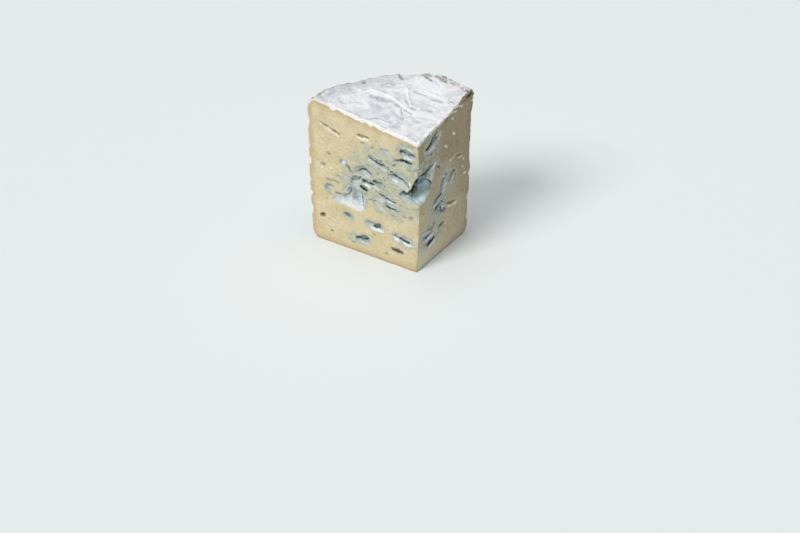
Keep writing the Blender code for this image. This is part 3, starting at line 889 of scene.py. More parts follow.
def cut_wedge():
    """The drum cut to the wedge, with its hollows, as an even and fine mesh."""
    wedge = object_from(make_drum(), "wedge_blank")
    tools = [object_from(quarter_block(), "quarter_block")]
    add_boolean(wedge, "Quarter", "INTERSECT", tools[0])
    for number, cutter in enumerate(CUTTERS):
        name = f"cutter_{number}"
        tools.append(object_from(cutter_mesh(cutter, name), name))
        add_boolean(wedge, name, "DIFFERENCE", tools[-1])
    remesh = wedge.modifiers.new("Fine", "REMESH")
    remesh.mode = "VOXEL"
    remesh.voxel_size = VOXEL
    remesh.use_smooth_shade = True
    mesh = with_modifiers(wedge, "cheese_wedge_fine")
    for tool in tools:
        bpy.data.objects.remove(tool)
    return mesh


# Where a point of the surface is


def rind_depth(points):
    """How deep each point lies under the drum's outer surface."""
    radius, level = on_turned_drum(points)
    upper = level > TIP_HEIGHT / 2
    shoulder = np.where(upper, TOP_SHOULDER, FOOT_SHOULDER)
    share = np.clip((level - FOOT_SHOULDER) / (TIP_HEIGHT - TOP_SHOULDER - FOOT_SHOULDER), 0, 1)
    wall = DRUM_RADIUS + WALL_BULGE * np.sin(math.pi * share)
    out = radius - (wall - shoulder)
    over = np.where(upper, level - (TIP_HEIGHT - shoulder), shoulder - level)
    corner = np.hypot(np.maximum(out, 0), np.maximum(over, 0))
    return shoulder - corner - np.minimum(np.maximum(out, over), 0)


def rind_normal(points, step=0.05):
    """The direction out of the drum at each point, from the depth's slope."""
    slopes = []
    for axis in range(3):
        shift = np.zeros(3)
        shift[axis] = step
        slopes.append(rind_depth(points - shift) - rind_depth(points + shift))
    normal = np.stack(slopes, axis=1)
    return normal / np.maximum(np.linalg.norm(normal, axis=1, keepdims=True), 1e-9)


def nearest_cutter(points):
    """The number of the cutter that made each point of the hollows' walls."""
    shares = []
    for cutter in CUTTERS:
        offset = points - np.array(cutter.middle)
        total = np.zeros(len(points))
        for axis, size in zip(cutter.axes, cutter.half_sizes):
            total += (offset @ np.array(axis) / size) ** 2
        shares.append(total)
    return np.argmin(np.stack(shares), axis=0)


def nearest_points(points, others):
    """For each point, the number of the nearest of the others, and how far it is."""
    tree = kdtree.KDTree(len(others))
    for number, other in enumerate(others):
        tree.insert(other, number)
    tree.balance()
    found = [tree.find(point) for point in points]
    return np.array([f[1] for f in found]), np.array([f[2] for f in found])


def on_faces(points):
    """Where each point shows on the cut faces to one who looks as the photo does.

    It gives the face, 0 for the left and 1 for the right, and the place along and up.
    """
    steps = points[:, :2] / np.array(LOOK.xy)
    step = steps.min(axis=1)
    face = steps.argmin(axis=1)
    shown = points - step[:, None] * np.array(LOOK)
    along = np.where(face == 0, shown[:, 1], shown[:, 0])
    return face, along, shown[:, 2]


def on_top(points):
    """Where each point shows on the wedge's top, across and into, as the photo looks at it."""
    above = points[:, 2] - local_height(points[:, 0], points[:, 1])
    fall = LOOK.z - RIGHT_RISE * LOOK.x - LEFT_RISE * LOOK.y
    shown = points - (above / fall)[:, None] * np.array(LOOK)
    across = (shown[:, 0] - shown[:, 1]) * math.sin(CORNER_TURN)
    into = (shown[:, 0] + shown[:, 1]) * math.sin(CORNER_TURN)
    return above, across, into


class Surface:
    """What each point of the wedge's surface is: its place, and what it is made of."""

    def __init__(self, points):
        count = len(points)
        self.points = points
        self.depth = rind_depth(points)
        self.under_cut = np.minimum(points[:, 0], points[:, 1])
        self.hollow = (self.under_cut > 0.35) & (self.depth > 1.1)
        self.cut = (self.under_cut <= 0.35) & (self.depth > 0.2)
        self.face, self.along, self.up = on_faces(points)
        self.above, self.across, self.into = on_top(points)
        self.gap = np.full(count, 99.0)
        self.cutter = np.full(count, -1)
        self.cutter[self.hollow] = nearest_cutter(points[self.hollow])
        number, gap = nearest_points(points[self.cut], points[self.hollow])
        self.gap[self.cut] = gap
        self.gap[self.hollow] = 0
        self.cutter[self.cut] = self.cutter[self.hollow][number]

    def kind(self, name):
        """One of the numbers of the kind of the nearest hollow, at each point."""
        values = np.array([getattr(cutter.kind, name) for cutter in CUTTERS] + [0.0])
        return values[self.cutter]

    def height_in_hollow(self):
        """How high each point shows in its hollow: -1 at the lower lip, 1 at the upper."""
        height = np.full(len(self.points), -9.0)
        for number, cutter in enumerate(CUTTERS):
            if not cutter.hollow:
                continue
            own = self.hollow & (self.cutter == number)
            tilt = math.radians(cutter.hollow.tilt)
            up = self.up[own] - cutter.hollow.up
            along = self.along[own] - cutter.hollow.along
            cross = up * math.cos(tilt) - along * math.sin(tilt)
            height[own] = cross / (cutter.hollow.width / 2)
        return height


def marbling(surface):
    """Where the mould runs through the paste and stains it, from 0 to 1."""
    fields = (
        (0, 30, 70, 34, 27, 1.0),
        (0, 50, 58, 22, 18, 1.0),
        (0, 20, 48, 24, 12, 0.8),
        (0, 9, 92, 15, 13, 0.9),
        (0, 34, 27, 17, 6, 0.5),
        (0, 12, 23, 14, 7, 0.7),
        (0, 50, 12, 14, 7, 0.8),
        (1, 18, 96, 13, 12, 0.9),
        (1, 8, 80, 22, 12, 0.7),
        (1, 40, 60, 16, 13, 0.9),
        (1, 29, 42, 15, 14, 1.0),
        (1, 18, 24, 18, 13, 0.9),
    )
    total = np.zeros(len(surface.points))
    for face, middle, up, reach, rise, share in fields:
        span = ((surface.along - middle) / reach) ** 2 + ((surface.up - up) / rise) ** 2
        total = np.maximum(total, share * np.exp(-(span**1.5)) * (surface.face == face))
    return total


def dashes(points, size, seed):
    """Noise drawn out along the paste's grain, which rises away from the tip."""
    tilt = np.where(points[:, 0] > points[:, 1], RIGHT_GRAIN, LEFT_GRAIN)
    along = points[:, 0] + points[:, 1]
    up = points[:, 2]
    grain = along * np.cos(tilt) + up * np.sin(tilt)
    cross = up * np.cos(tilt) - along * np.sin(tilt)
    side = points[:, 0] - points[:, 1]
    return rough_noise(np.stack((grain / 3.4, cross, side / 3), axis=1), size, seed, 2)


def from_line(start, end, first, second):
    """How far each place is from a straight line, and the share of its length there."""
    run = np.array(end) - np.array(start)
    share = ((first - start[0]) * run[0] + (second - start[1]) * run[1]) / (run @ run)
    share = np.clip(share, 0, 1)
    off = np.hypot(first - start[0] - share * run[0], second - start[1] - share * run[1])
    return off, share


def off_streak(streak, along, up):
    """How far outside a streak's edge each place is, in millimetres."""
    start = (streak.along, streak.up)
    end = (streak.to_along, streak.to_up)
    off, share = from_line(start, end, along, up)
    taper = 0.6 + 0.4 * np.sqrt(1 - (2 * share - 1) ** 2)
    return off - streak.width / 2 * taper


def below_cave_top(surface):
    """1 where a point shows below the painted shadow line over the cave, and 0 above it."""
    on_left = np.maximum(CAVE_TOP + CAVE_TOP_LEFT * surface.along, CAVE_TOP_LOW)
    on_right = CAVE_TOP + CAVE_TOP_RIGHT * surface.along
    line = np.where(surface.face == 0, on_left, on_right)
    return smooth_step(line - surface.up, -0.6, 0.8)


def add_streaks(surface, shares):
    """Adds the streaks' colours to the shares, and gives how deep they are pressed in."""
    points = surface.points
    pressed = np.zeros(len(points))
    inner = surface.hollow | surface.cut
    ragged = 0.36 * rough_noise(points, 1.8, 61)
    broken = 0.72 + 0.45 * smooth_step(dashes(points, 2.0, 64), -0.7, 0.2)
    along = surface.along + 0.5 * rough_noise(points, 4.0, 62)
    up = surface.up + 0.5 * rough_noise(points, 4.0, 63)
    for face, streaks in enumerate((LEFT_STREAKS, RIGHT_STREAKS)):
        own = np.flatnonzero(inner & (surface.face == face))
        for streak in streaks:
            tone = TONES[streak.tone]
            off = off_streak(streak, along[own], up[own])
            near = off < tone.halo + 1
            places = own[near]
            within = ragged[places] - off[near]
            inside = smooth_step(within, -0.5, 0.45)
            if tone.colour != "dark":
                shares["dark"][places] *= 1 - 0.7 * inside
            amount = np.minimum(tone.amount * inside * broken[places], 1)
            mixed(shares, tone.colour, places, amount)
            mixed(shares, "stain", places, 0.9 * smooth_step(within, -tone.halo - 0.1, 0))
            pressed[places] += tone.pressed * inside
    return np.clip(pressed, -0.2, 1.2)


def cave_closing(surface):
    """How far the paste closes over the cave on the left face, above its painted shadow line."""
    low, high = CLOSED_HEIGHTS
    own = surface.hollow & (surface.face == 0) & (surface.along < CLOSED_REACH)
    own &= (surface.up > low) & (surface.up < high)
    return own * (1 - below_cave_top(surface))


def painted_edge_shade(surface):
    """Share of brown on the cut faces, painted as shade: under the rind's edge on the right, and
    along the foot where the wedge meets the floor.
    """
    points = surface.points
    under_rind = surface.depth - rind_thickness(points)
    line = np.exp(-(((under_rind - 0.3) / 0.7) ** 2)) * smooth_step(points[:, 0], 8, 24)
    line *= (points[:, 1] < 2) * smooth_step(smooth_noise(points, 7, 71), -0.4, 0.3)
    foot = smooth_step(points[:, 2] + 0.5 * smooth_noise(points, 5, 72), 1.5, 0.3)
    return np.maximum(0.7 * line, 0.75 * foot)


def stains(surface):
    """Shares of each colour at each point, and how deep the streaks are pressed in."""
    points = surface.points
    wobble = 1.2 * rough_noise(points, 3.5, 11)
    gap = surface.gap + wobble * (surface.gap > 0)
    halo = 1 - smooth_step(gap, -0.4, surface.kind("halo"))
    in_cave = surface.kind("bowl") == KINDS["cave"].bowl
    lining = (1 - smooth_step(gap, -0.1, 0.7)) * np.where(in_cave, below_cave_top(surface), 1)
    field = marbling(surface)
    clouds = smooth_step(0.5 * rough_noise(points, 11, 13) + 1.3 * field, 0.1, 1.2)
    grain = smooth_step(dashes(points, 2.0, 12), 0.0, 0.5)
    specks = smooth_step(dashes(points, 1.3, 17), 0.32, 0.65)
    flecks = smooth_step(dashes(points, 1.4, 18), 0.32, 0.65)
    glints = 0.8 * field * (surface.face == 1) * smooth_step(dashes(points, 1.2, 19), 0.35, 0.6)
    stained = surface.kind("blue") + surface.kind("pale") > 0.4
    speckled = (0.6 + 0.3 * surface.face) * field * specks
    height = surface.height_in_hollow() + 0.35 * dashes(points, 2.2, 15)
    # Painted shade in the upper walls of the hollows on the left face, under their lips
    roof_painted_shade = smooth_step(height - surface.kind("shade"), 0, 0.6) * (surface.face == 0)
    shares = {
        "stain": np.maximum(0.75 * clouds, 0.9 * halo * stained),
        "blue": np.maximum(surface.kind("blue") * lining, 0.7 * field * grain),
        "pale": np.maximum(surface.kind("pale") * lining, 0.75 * field * flecks),
        "white": np.maximum(surface.kind("white") * lining, glints),
        "cream": surface.kind("cream") * lining,
        # Brown in brown hollows, and the painted brown shade under the rind's edge and at the foot
        "brown": np.maximum(surface.kind("brown") * lining, painted_edge_shade(surface)),
        "bowl": surface.kind("bowl") * lining,
        # Dark mould specks, and the painted shade of the hollows' upper walls
        "dark": np.maximum(surface.kind("dark") * roof_painted_shade * surface.hollow, speckled),
    }
    pressed = add_streaks(surface, shares)
    return shares, pressed


# Relief


def lump_relief(points, to_part):
    """The rind's slow lumps and wrinkles, which the solid has too."""
    turned = np.array(to_part.to_3x3()) / MM
    shifted = points @ turned.T + np.array(to_part.translation) / MM
    lumps = []
    for point in shifted:
        place = Vector(point)
        lump = noise.noise(place / LUMP_SIZE) * LUMP_HEIGHT
        wrinkle = (0.5 - abs(noise.noise(place / WRINKLE_SIZE))) * WRINKLE_HEIGHT
        lumps.append(lump + wrinkle)
    return np.array(lumps)


def folds(points):
    """Soft folds of the rind: 0 in a crease and up to 1 on the swells between."""
    along = points[:, 0] * math.cos(FOLD_TURN) + points[:, 1] * math.sin(FOLD_TURN)
    across = points[:, 1] * math.cos(FOLD_TURN) - points[:, 0] * math.sin(FOLD_TURN)
    flat = np.stack((along * 0.42, across, points[:, 2]), axis=1)
    warp = np.stack([smooth_noise(flat, 15, seed) for seed in (1, 2, 3)], axis=1)
    bent = flat + 5 * warp
    broad = np.clip(np.abs(smooth_noise(bent, 13, 4)) * 1.8, 0, 1)
    narrow = np.clip(np.abs(smooth_noise(bent, 4.6, 5)) * 1.8, 0, 1)
    where = smooth_step(smooth_noise(points, 20, 6), -0.2, 0.5)
    return 1 - (1 - broad) * 0.65 - (1 - narrow) * 0.40 * where


def top_folds(surface):
    """The height of the top's own ridges and creases, and the shares of their tints."""
    own = np.flatnonzero((surface.depth < 9) & (surface.above > FOLD_SEEN_FROM))
    points = surface.points[own]
    across = surface.across[own] + 0.6 * rough_noise(points, 6, 81, 2)
    into = surface.into[own] + 0.6 * rough_noise(points, 6, 82, 2)
    broken = 0.55 + 0.75 * smooth_step(smooth_noise(points, 5, 83), -0.6, 0.5)
    broad = np.zeros(len(own))
    narrow = np.zeros(len(own))
    shares = {name: np.zeros(len(surface.points)) for name in ("bright", "crease", "blush", "torn")}
    for fold in TOP_FOLDS:
        start = (fold.across, fold.into)
        end = (fold.to_across, fold.to_into)
        off, _ = from_line(start, end, across, into)
        bell = np.exp(-((off / (0.62 * fold.width)) ** 2)) * broken
        rise = fold.height * bell
        if fold.width >= BROAD_FOLD:
            broad += rise
        else:
            narrow = np.where(np.abs(rise) > np.abs(narrow), rise, narrow)
        name, amount = TINTS[fold.tint]
        mixed(shares, name, own, np.minimum(amount * bell, 1))
    total = np.zeros(len(surface.points))
    total[own] = broad + 0.8 * narrow
    return total, shares


def rind_relief(surface, to_part):
    """How far the rind stands out of the clean drum, its swells, and the shares of its tints."""
    points = surface.points
    near = surface.depth < 12
    lumps = np.zeros(len(points))
    lumps[near] = lump_relief(points[near], to_part)
    swells = folds(points)
    top = smooth_step(surface.above, -9, -3)
    near_right = smooth_step(points[:, 1], 13, 1) * top
    near_left = np.exp(-(((points[:, 0] - 0.8) / 1.3) ** 2)) * top
    combed = rough_noise(points * np.array((1, 0.2, 1)), 1.7, 23, 2)
    drawn = rough_noise(points * np.array((1, 1, 0.16)), 6.0, 26, 3)
    fine = 0.07 * rough_noise(points, 1.8, 21, 3) + (0.10 * top + 0.22 * near_right) * combed
    fine += 0.5 * (1 - top) * drawn
    lip = near_left * (0.45 + 0.6 * smooth_noise(points, 5, 24))
    radius, _ = polar(points)
    rim = smooth_step(radius, 68, 75)
    bumps = rough_noise(points, 6.0, 22, 3)
    own_folds, shares = top_folds(surface)
    rugged = (0.3 + 0.4 * top) * rim * bumps
    calm = rim * (1 - top)
    swells += 0.75 * calm * (0.66 - swells)
    relief = lumps + 1.0 * (swells - 0.6) + fine + rugged + own_folds + lip
    fade = np.clip((points[:, 2] - FLAT_FOOT) / FLAT_FOOT, 0, 1)
    reach = 1 - smooth_step(surface.depth, 0.5, 6.0)
    worn = 0.35 + 0.65 * smooth_step(rough_noise(points, 4.0, 25, 3), -0.5, 0.4)
    line = np.exp(-(((radius - 72.6) / 2.2) ** 2)) * top * worn
    wall = 0.2 * rim * (1 - top) * smooth_step(drawn, 0.0, -0.8)
    everywhere = slice(None)
    mixed(shares, "blush", everywhere, np.maximum(0.8 * line, wall))
    # Painted shade on the top towards the rim, more on the left, and painted shade and highlights
    # on the wall's folds and on the combed ridges near the right cut
    outer = (0.3 + 0.3 * smooth_step(surface.across, 15, -15)) * top * smooth_step(radius, 48, 68)
    mixed(shares, "crease", everywhere, outer + 0.6 * calm * smooth_step(drawn, 0.0, -0.6))
    mixed(shares, "bright", everywhere, 0.6 * calm * smooth_step(drawn, 0.0, 0.5))
    mixed(shares, "crease", everywhere, 0.6 * near_right * smooth_step(combed, 0.0, -0.6))
    mixed(shares, "bright", everywhere, 0.8 * near_right * smooth_step(combed, 0.0, 0.5))
    mixed(shares, "bright", everywhere, near_left)
    return relief * fade * reach, swells, shares


def cut_relief(surface, shares):
    """Relief of the cut faces: dragged paste, pits, torn edge and mould."""
    points = surface.points
    drag = 0.16 * dashes(points, 1.6, 31)
    broad = 0.25 * smooth_noise(points, 12, 32)
    pits = -1.0 * smooth_step(dashes(points, 1.3, 33), 0.60, 0.85)
    mould = 0.30 * rough_noise(points, 1.6, 34, 2) * np.clip(shares["blue"], 0, 1)
    top = smooth_step(surface.above, -9, -3)
    torn = 0.1 + (0.25 + 0.55 * top) * smooth_noise(points, 3.0, 35)
    edge = np.exp(-((surface.depth / 1.6) ** 2)) * torn
    worn = -0.7 * np.exp(-(((points[:, 0] + points[:, 1]) / 1.5) ** 2))
    return drag + broad + pits + mould + edge + worn


def rind_thickness(points):
    """How thick the white rind is on the cut faces: most on top, patchy down the wall."""
    top = smooth_step(points[:, 2] - local_height(points[:, 0], points[:, 1]), -9, -3)
    torn = rough_noise(points, 7.0, 51, 3, 0.35)
    patchy = smooth_step(smooth_noise(points, 9.0, 52), 0.0, 0.5)
    wall = (0.1 + 1.9 * patchy + 0.9 * torn) * smooth_step(points[:, 2], 3, 14)
    cover = 1.9 - 1.5 * smooth_step(points[:, 0], 56, 64)
    return np.maximum(0.2, wall + (cover + 1.7 * torn - wall) * top)


def store(mesh, name, values):
    """Keeps one number for each point of the mesh, for the material to read."""
    attribute = mesh.attributes.new(name, "FLOAT", "POINT")
    attribute.data.foreach_set("value", values.astype(np.float32))


def dress(mesh, to_part):
    """Adds the fine relief and the stains to the cut wedge's mesh."""
    surface = Surface(vertex_array(mesh))
    normals = normal_array(mesh)
    points = surface.points
    shares, pressed = stains(surface)
    closing = cave_closing(surface)
    relief, swells, tints = rind_relief(surface, to_part)

    walls = (0.40 - 0.30 * shares["bowl"]) * rough_noise(points, 2.0, 41, 3)
    in_hollow = smooth_step(surface.under_cut, 0.3, 1.0) * smooth_step(surface.depth, 0.8, 1.4)
    on_cut = 1 - smooth_step(surface.under_cut, 0.3, 0.9)
    foot = smooth_step(points[:, 2], 0.2, 1.2)
    inner = smooth_step(surface.depth, 0.6, 1.6)
    push = on_cut * cut_relief(surface, shares) + in_hollow * walls - inner * pressed
    moved = points + rind_normal(points) * relief[:, None] + normals * (push * foot)[:, None]
    behind = closing * (moved[:, 0] - CLOSED_AT) / LOOK.x
    moved -= behind[:, None] * np.array(LOOK)
    from_tip = points[:, 0] + points[:, 1]
    height = np.clip(points[:, 2] / TIP_HEIGHT, 0, 1)
    lean = TIP_LEAN * np.exp(-from_tip / TIP_LEAN_REACH) * np.sin(math.pi * height)
    moved[:, :2] += lean[:, None] * np.array((RIGHT - LEFT).normalized().xy)

    mesh.vertices.foreach_set("co", moved.astype(np.float32).ravel())
    store(mesh, "rind", rind_thickness(points) - surface.depth)
    store(mesh, "depth", surface.depth)
    store(mesh, "swell", swells)
    store(mesh, "wall", smooth_step(polar(points)[0], 68, 76))
    right_face = (1 - smooth_step(points[:, 1], 0.3, 3)) * smooth_step(points[:, 0], 0, 2)
    store(mesh, "grain", dashes(points, 1.5, 36) * (1 + 0.6 * right_face))
    # Painted shade on the right face, darker towards its top and its back
    store(mesh, "right_face_painted_shade", right_face * smooth_step(points[:, 2] + 0.5 * points[:, 0], 20, 105))
    # Painted light deep in the cave: its lining paler further in, against its shade
    store(mesh, "cave_painted_light", smooth_step(surface.under_cut, 0.5, 3.5) * (points[:, 1] < 12))
    # Painted reflected light, low on the right face near the tip
    store(mesh, "right_face_painted_light", right_face * smooth_step(points[:, 2] + 0.4 * points[:, 0], 40, 8))
    for name, values in itertools.chain(shares.items(), tints.items()):
        store(mesh, name, values)
    mesh.update()


# Material nodes


class Nodes:
    """Adds shader nodes to a material's tree and joins them up."""

    def __init__(self, material):
        self.tree = material.node_tree
        self.place = self.tree.nodes.new("ShaderNodeTexCoord").outputs["Object"]

    def put(self, socket, value):
        if isinstance(value, bpy.types.NodeSocket):
            self.tree.links.new(value, socket)
        elif value is not None:
            socket.default_value = value

    def attribute(self, name):
        node = self.tree.nodes.new("ShaderNodeAttribute")
        node.attribute_name = name
        return node.outputs["Fac"]

    def math(self, operation, first, second=None, clamp=False):
        node = self.tree.nodes.new("ShaderNodeMath")
        node.operation = operation
        node.use_clamp = clamp
        self.put(node.inputs[0], first)
        self.put(node.inputs[1], second)
        return node.outputs[0]

    def stretched(self, scale, turn=CORNER_TURN):
        """Places seen in a frame turned about +Z and scaled."""
        node = self.tree.nodes.new("ShaderNodeMapping")
        node.vector_type = "TEXTURE"
        self.put(node.inputs["Vector"], self.place)
        node.inputs["Rotation"].default_value = (0, 0, turn)
        node.inputs["Scale"].default_value = scale
        return node.outputs[0]

    def noise(self, size, detail=3, rough=0.5, bend=0.0, place=None):
        """Noise with lumps of about that size in millimetres, from 0 to 1."""
        node = self.tree.nodes.new("ShaderNodeTexNoise")
        self.put(node.inputs["Vector"], place or self.place)
        node.inputs["Scale"].default_value = 1 / (size * MM)
        node.inputs["Detail"].default_value = detail
        node.inputs["Roughness"].default_value = rough
        node.inputs["Distortion"].default_value = bend
        return node.outputs["Fac"]

    def step(self, value, low, high, start=0.0, end=1.0):
        """start where the value is at low, end where it is at high, smooth between."""
        node = self.tree.nodes.new("ShaderNodeMapRange")
        node.interpolation_type = "SMOOTHSTEP"
        self.put(node.inputs["Value"], value)
        node.inputs["From Min"].default_value = low
        node.inputs["From Max"].default_value = high
        node.inputs["To Min"].default_value = start
        node.inputs["To Max"].default_value = end
        return node.outputs["Result"]

    def uneven(self, name, size, amount):
        """An attribute with noise of that size and amount added to it."""
        noise_part = self.step(self.noise(size, 4, 0.6), 0.3, 0.7, -amount, amount)
        return self.math("ADD", self.attribute(name), noise_part)

    def mix(self, share, first, second):
        """A colour between two colours."""
        node = self.tree.nodes.new("ShaderNodeMix")
        node.data_type = "RGBA"
        self.put(node.inputs[0], share)
        self.put(node.inputs[6], first)
        self.put(node.inputs[7], second)
        return node.outputs[2]

    def blend(self, share, first, second):
        """A number between two numbers."""
        node = self.tree.nodes.new("ShaderNodeMix")
        node.data_type = "FLOAT"
        self.put(node.inputs[0], share)
        self.put(node.inputs[2], first)
        self.put(node.inputs[3], second)
        return node.outputs[0]


def seen(red, green, blue):
    """A colour given as it looks on a screen, from 0 to 255, as a shader's colour."""

    def linear(value):
        share = value / 255
        return share / 12.92 if share <= 0.04045 else ((share + 0.055) / 1.055) ** 2.4

    return (linear(red), linear(green), linear(blue), 1)


CREAM = seen(224, 209, 173)
# Pale cream paints pale grain streaks and the painted light on the right face
CREAM_PALE_GRAIN_AND_LIGHT = seen(238, 230, 204)
CREAM_DEEP = seen(217, 200, 158)
OCHRE = seen(203, 179, 138)
TORN_CREAM = seen(250, 241, 216)
# Dusky paints dark grain streaks and the painted shade on the right face
DUSKY_GRAIN_AND_SHADE = seen(161, 143, 110)
STAINED = seen(187, 190, 169)
MOULD_PALE = seen(186, 200, 196)
MOULD_MID = seen(144, 162, 158)
# Dark mould, also used for painted shade
DARK_MOULD_AND_SHADE = seen(45, 61, 65)
BLOOM_PALE = seen(207, 216, 210)
BLOOM_WHITE = seen(240, 243, 244)
BOWL = seen(186, 203, 209)
# The cave's lining deep inside, painted paler as light against its shade
BOWL_PAINTED_LIGHT = seen(222, 246, 250)
BROWN = seen(132, 104, 56)
RIND_WHITE = seen(236, 238, 240)
RIND_BRIGHT = seen(252, 252, 252)
RIND_TORN = seen(252, 247, 232)
RIND_SHADE = seen(203, 207, 212)
# Painted shade in the rind's creases
RIND_CREASE_SHADE = seen(190, 195, 200)
RIND_MOTTLE = seen(212, 204, 202)
RIND_BLUSH = seen(156, 145, 137)


def paste_colour(nodes):
    """Cream paste, clouded and streaked, deeper in colour towards the rind, with painted light low
    on the right face near the tip and painted shade higher and further back on it.
    """
    cloud = nodes.step(nodes.noise(11, 4, 0.55), 0.36, 0.64)
    colour = nodes.mix(cloud, CREAM, CREAM_DEEP)
    grain = nodes.attribute("grain")
    colour = nodes.mix(nodes.step(grain, 0.25, 0.8, 0, 0.55), colour, CREAM_PALE_GRAIN_AND_LIGHT)
    colour = nodes.mix(nodes.step(grain, -0.25, -0.9, 0, 0.35), colour, DUSKY_GRAIN_AND_SHADE)
    wander = nodes.math("MULTIPLY", nodes.noise(5, 3), 3.0)
    depth = nodes.math("ADD", nodes.attribute("depth"), wander)
    colour = nodes.mix(nodes.step(depth, 2.5, 8.0, 0.85, 0.0), colour, OCHRE)
    # Painted light: the right face paler low down near the tip
    colour = nodes.mix(nodes.math("MULTIPLY", nodes.attribute("right_face_painted_light"), 0.8), colour, CREAM_PALE_GRAIN_AND_LIGHT)
    # Painted shade: the right face darker towards its top and its back
    return nodes.mix(nodes.math("MULTIPLY", nodes.attribute("right_face_painted_shade"), 0.8), colour, DUSKY_GRAIN_AND_SHADE)


def mould_colour(nodes):
    """Blue-grey mould, mottled."""
    mottle = nodes.step(nodes.noise(1.9, 5, 0.7), 0.35, 0.68)
    colour = nodes.mix(mottle, MOULD_MID, MOULD_PALE)
    pepper = nodes.step(nodes.noise(0.9, 3, 0.6), 0.60, 0.70, 0, 0.6)
    return nodes.mix(pepper, colour, DARK_MOULD_AND_SHADE)


def cut_colour(nodes):
    """The paste with its stains and streaks and the linings of its hollows, with painted light deep
    in the cave and painted shade among the dark mould.
    """
    stain = nodes.uneven("stain", 3.0, 0.15)
    colour = nodes.mix(nodes.step(stain, 0.05, 0.85, 0, 0.85), paste_colour(nodes), STAINED)
    blue = nodes.uneven("blue", 2.2, 0.2)
    # Painted light: the cave's lining paler deeper in
    bowl = nodes.mix(nodes.attribute("cave_painted_light"), BOWL, BOWL_PAINTED_LIGHT)
    colour = nodes.mix(nodes.attribute("bowl"), colour, bowl)
    colour = nodes.mix(nodes.step(blue, 0.15, 0.8), colour, mould_colour(nodes))
    colour = nodes.mix(nodes.attribute("pale"), colour, BLOOM_PALE)
    colour = nodes.mix(nodes.attribute("white"), colour, BLOOM_WHITE)
    colour = nodes.mix(nodes.attribute("cream"), colour, TORN_CREAM)
    colour = nodes.mix(nodes.math("MULTIPLY", nodes.attribute("brown"), 0.85), colour, BROWN)
    # Dark mould, with the painted shade of the slits, the hollows' upper walls and the cave's lip
    dark = nodes.step(nodes.uneven("dark", 1.2, 0.12), 0.1, 1.0, 0, 0.95)
    return nodes.mix(dark, colour, DARK_MOULD_AND_SHADE)


def rind_colour(nodes):
    """White bloom with painted shade in the creases and towards the rim, painted highlights on the
    ridges, and blushed where the rim is worn.
    """
    swell = nodes.uneven("swell", 2.5, 0.15)
    colour = nodes.mix(nodes.step(swell, 0.62, 0.15, 0, 0.7), RIND_WHITE, RIND_SHADE)
    # Painted highlights on the ridges, and the bright edge along the left cut
    bright = nodes.step(nodes.uneven("bright", 2.0, 0.15), 0.1, 0.9, 0, 0.9)
    colour = nodes.mix(bright, colour, RIND_BRIGHT)
    # Painted shade in the creases and towards the rim
    crease = nodes.step(nodes.uneven("crease", 2.0, 0.12), 0.1, 0.9)
    colour = nodes.mix(crease, colour, RIND_CREASE_SHADE)
    mottle = nodes.step(nodes.noise(4.0, 5, 0.65), 0.46, 0.66)
    mottle = nodes.math("MULTIPLY", nodes.math("MULTIPLY", mottle, nodes.attribute("wall")), 0.35)
    colour = nodes.mix(mottle, colour, RIND_MOTTLE)
    worn = nodes.step(nodes.uneven("blush", 1.6, 0.2), 0.1, 0.95, 0, 0.95)
    colour = nodes.mix(worn, colour, RIND_BLUSH)
    torn = nodes.step(nodes.uneven("torn", 1.6, 0.3), 0.2, 1.0, 0, 0.7)
    colour = nodes.mix(torn, colour, TORN_CREAM)
    return nodes.mix(nodes.step(nodes.attribute("depth"), 0.5, 1.0, 0, 0.8), colour, RIND_TORN)


def make_cheese_material():
    material = bpy.data.materials.new("cheese")
    material.use_nodes = True
    nodes = Nodes(material)
    shader = material.node_tree.nodes["Principled BSDF"]
    ragged = nodes.math("MULTIPLY", nodes.noise(1.4, 3, 0.6), 0.8)
    rind = nodes.step(nodes.math("ADD", nodes.attribute("rind"), ragged), 0.3, 0.6)
    colour = nodes.mix(rind, cut_colour(nodes), rind_colour(nodes))
    nodes.put(shader.inputs["Base Color"], colour)
    nodes.put(shader.inputs["Roughness"], nodes.blend(rind, 0.50, 0.92))
    shader.inputs["Metallic"].default_value = 0
    shader.inputs["IOR"].default_value = 1.42
    shader.inputs["Subsurface Weight"].default_value = 0.3
    shader.inputs["Subsurface Radius"].default_value = (1.0, 0.75, 0.45)
    shader.inputs["Subsurface Scale"].default_value = 0.0018
    bump = material.node_tree.nodes.new("ShaderNodeBump")
    bump.inputs["Strength"].default_value = 0.5
    bump.inputs["Distance"].default_value = 0.00025
    nodes.put(bump.inputs["Height"], nodes.noise(0.7, 3, 0.6))
    nodes.put(shader.inputs["Normal"], bump.outputs[0])
    return material


# The staged floor, the light and the camera

FLOOR_SIZE = 12.0
FLOOR_COLOUR = seen(236, 241, 241)
KEY_DIRECTION = Vector((-0.65, -0.38, 0.65))
KEY_STRENGTH = 1.92
KEY_SOFTNESS = math.radians(24)
OVERHEAD_STRENGTH = 1.33
OVERHEAD_SOFTNESS = math.radians(60)
SKY_COLOUR = (0.93, 0.96, 1.0, 1)
SKY_STRENGTH = 0.13

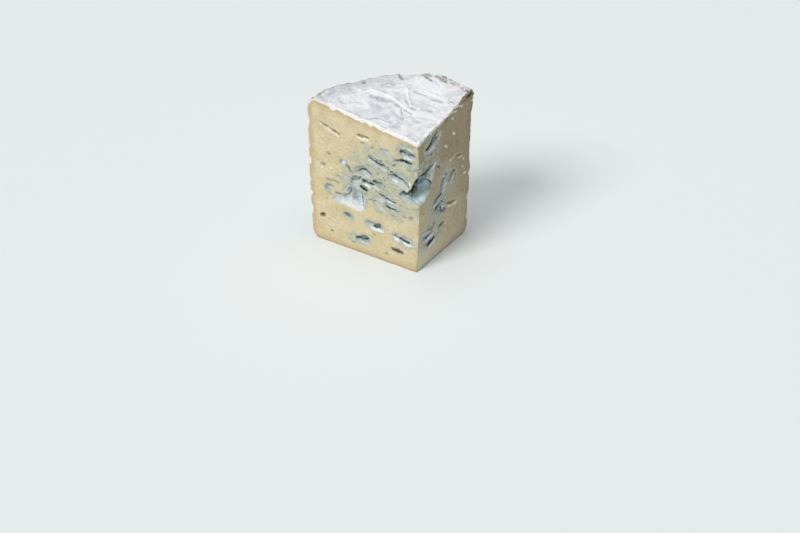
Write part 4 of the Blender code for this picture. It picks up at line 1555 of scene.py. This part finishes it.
CAMERA_FROM_TIP = Vector((-0.1617, -0.7233, 0.4916))
CAMERA_TURN = math.radians(-11.645)
CAMERA_DROP = math.radians(33.27)
CAMERA_LENS = 54.0
CAMERA_SENSOR = 36.0


def make_floor():
    mesh = bpy.data.meshes.new("floor")
    shape = bmesh.new()
    bmesh.ops.create_grid(shape, x_segments=1, y_segments=1, size=FLOOR_SIZE / 2)
    shape.to_mesh(mesh)
    shape.free()
    material = bpy.data.materials.new("floor")
    material.use_nodes = True
    shader = material.node_tree.nodes["Principled BSDF"]
    shader.inputs["Base Color"].default_value = FLOOR_COLOUR
    shader.inputs["Roughness"].default_value = 0.9
    mesh.materials.append(material)
    object_from(mesh, "floor")


def make_sun(name, direction, strength, softness):
    light = bpy.data.lights.new(name, "SUN")
    light.energy = strength
    light.angle = softness
    sun = bpy.data.objects.new(name, light)
    sun.rotation_euler = direction.to_track_quat("Z", "Y").to_euler()
    bpy.context.scene.collection.objects.link(sun)


def make_lights():
    make_sun("key", KEY_DIRECTION, KEY_STRENGTH, KEY_SOFTNESS)
    make_sun("overhead", UP, OVERHEAD_STRENGTH, OVERHEAD_SOFTNESS)
    world = bpy.data.worlds.new("sky")
    world.use_nodes = True
    background = world.node_tree.nodes["Background"]
    background.inputs["Color"].default_value = SKY_COLOUR
    background.inputs["Strength"].default_value = SKY_STRENGTH
    bpy.context.scene.world = world


def make_camera(tip):
    camera = bpy.data.cameras.new("camera")
    camera.sensor_width = CAMERA_SENSOR
    camera.lens = CAMERA_LENS
    obj = bpy.data.objects.new("camera", camera)
    obj.location = tip + CAMERA_FROM_TIP
    obj.rotation_euler = (math.radians(90) - CAMERA_DROP, 0, CAMERA_TURN)
    bpy.context.scene.collection.objects.link(obj)
    bpy.context.scene.camera = obj


def make_wedge(to_part):
    mesh = cut_wedge()
    dress(mesh, to_part)
    mesh.transform(to_part)
    mesh.materials.clear()
    mesh.materials.append(make_cheese_material())
    wedge = object_from(mesh, "cheese_wedge_fine")
    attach(wedge, "root")
    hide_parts(NODE)


to_part = corner_to_part()
make_wedge(to_part)
make_floor()
make_lights()
make_camera(to_part.translation)
bpy.context.scene.view_settings.view_transform = "Standard"
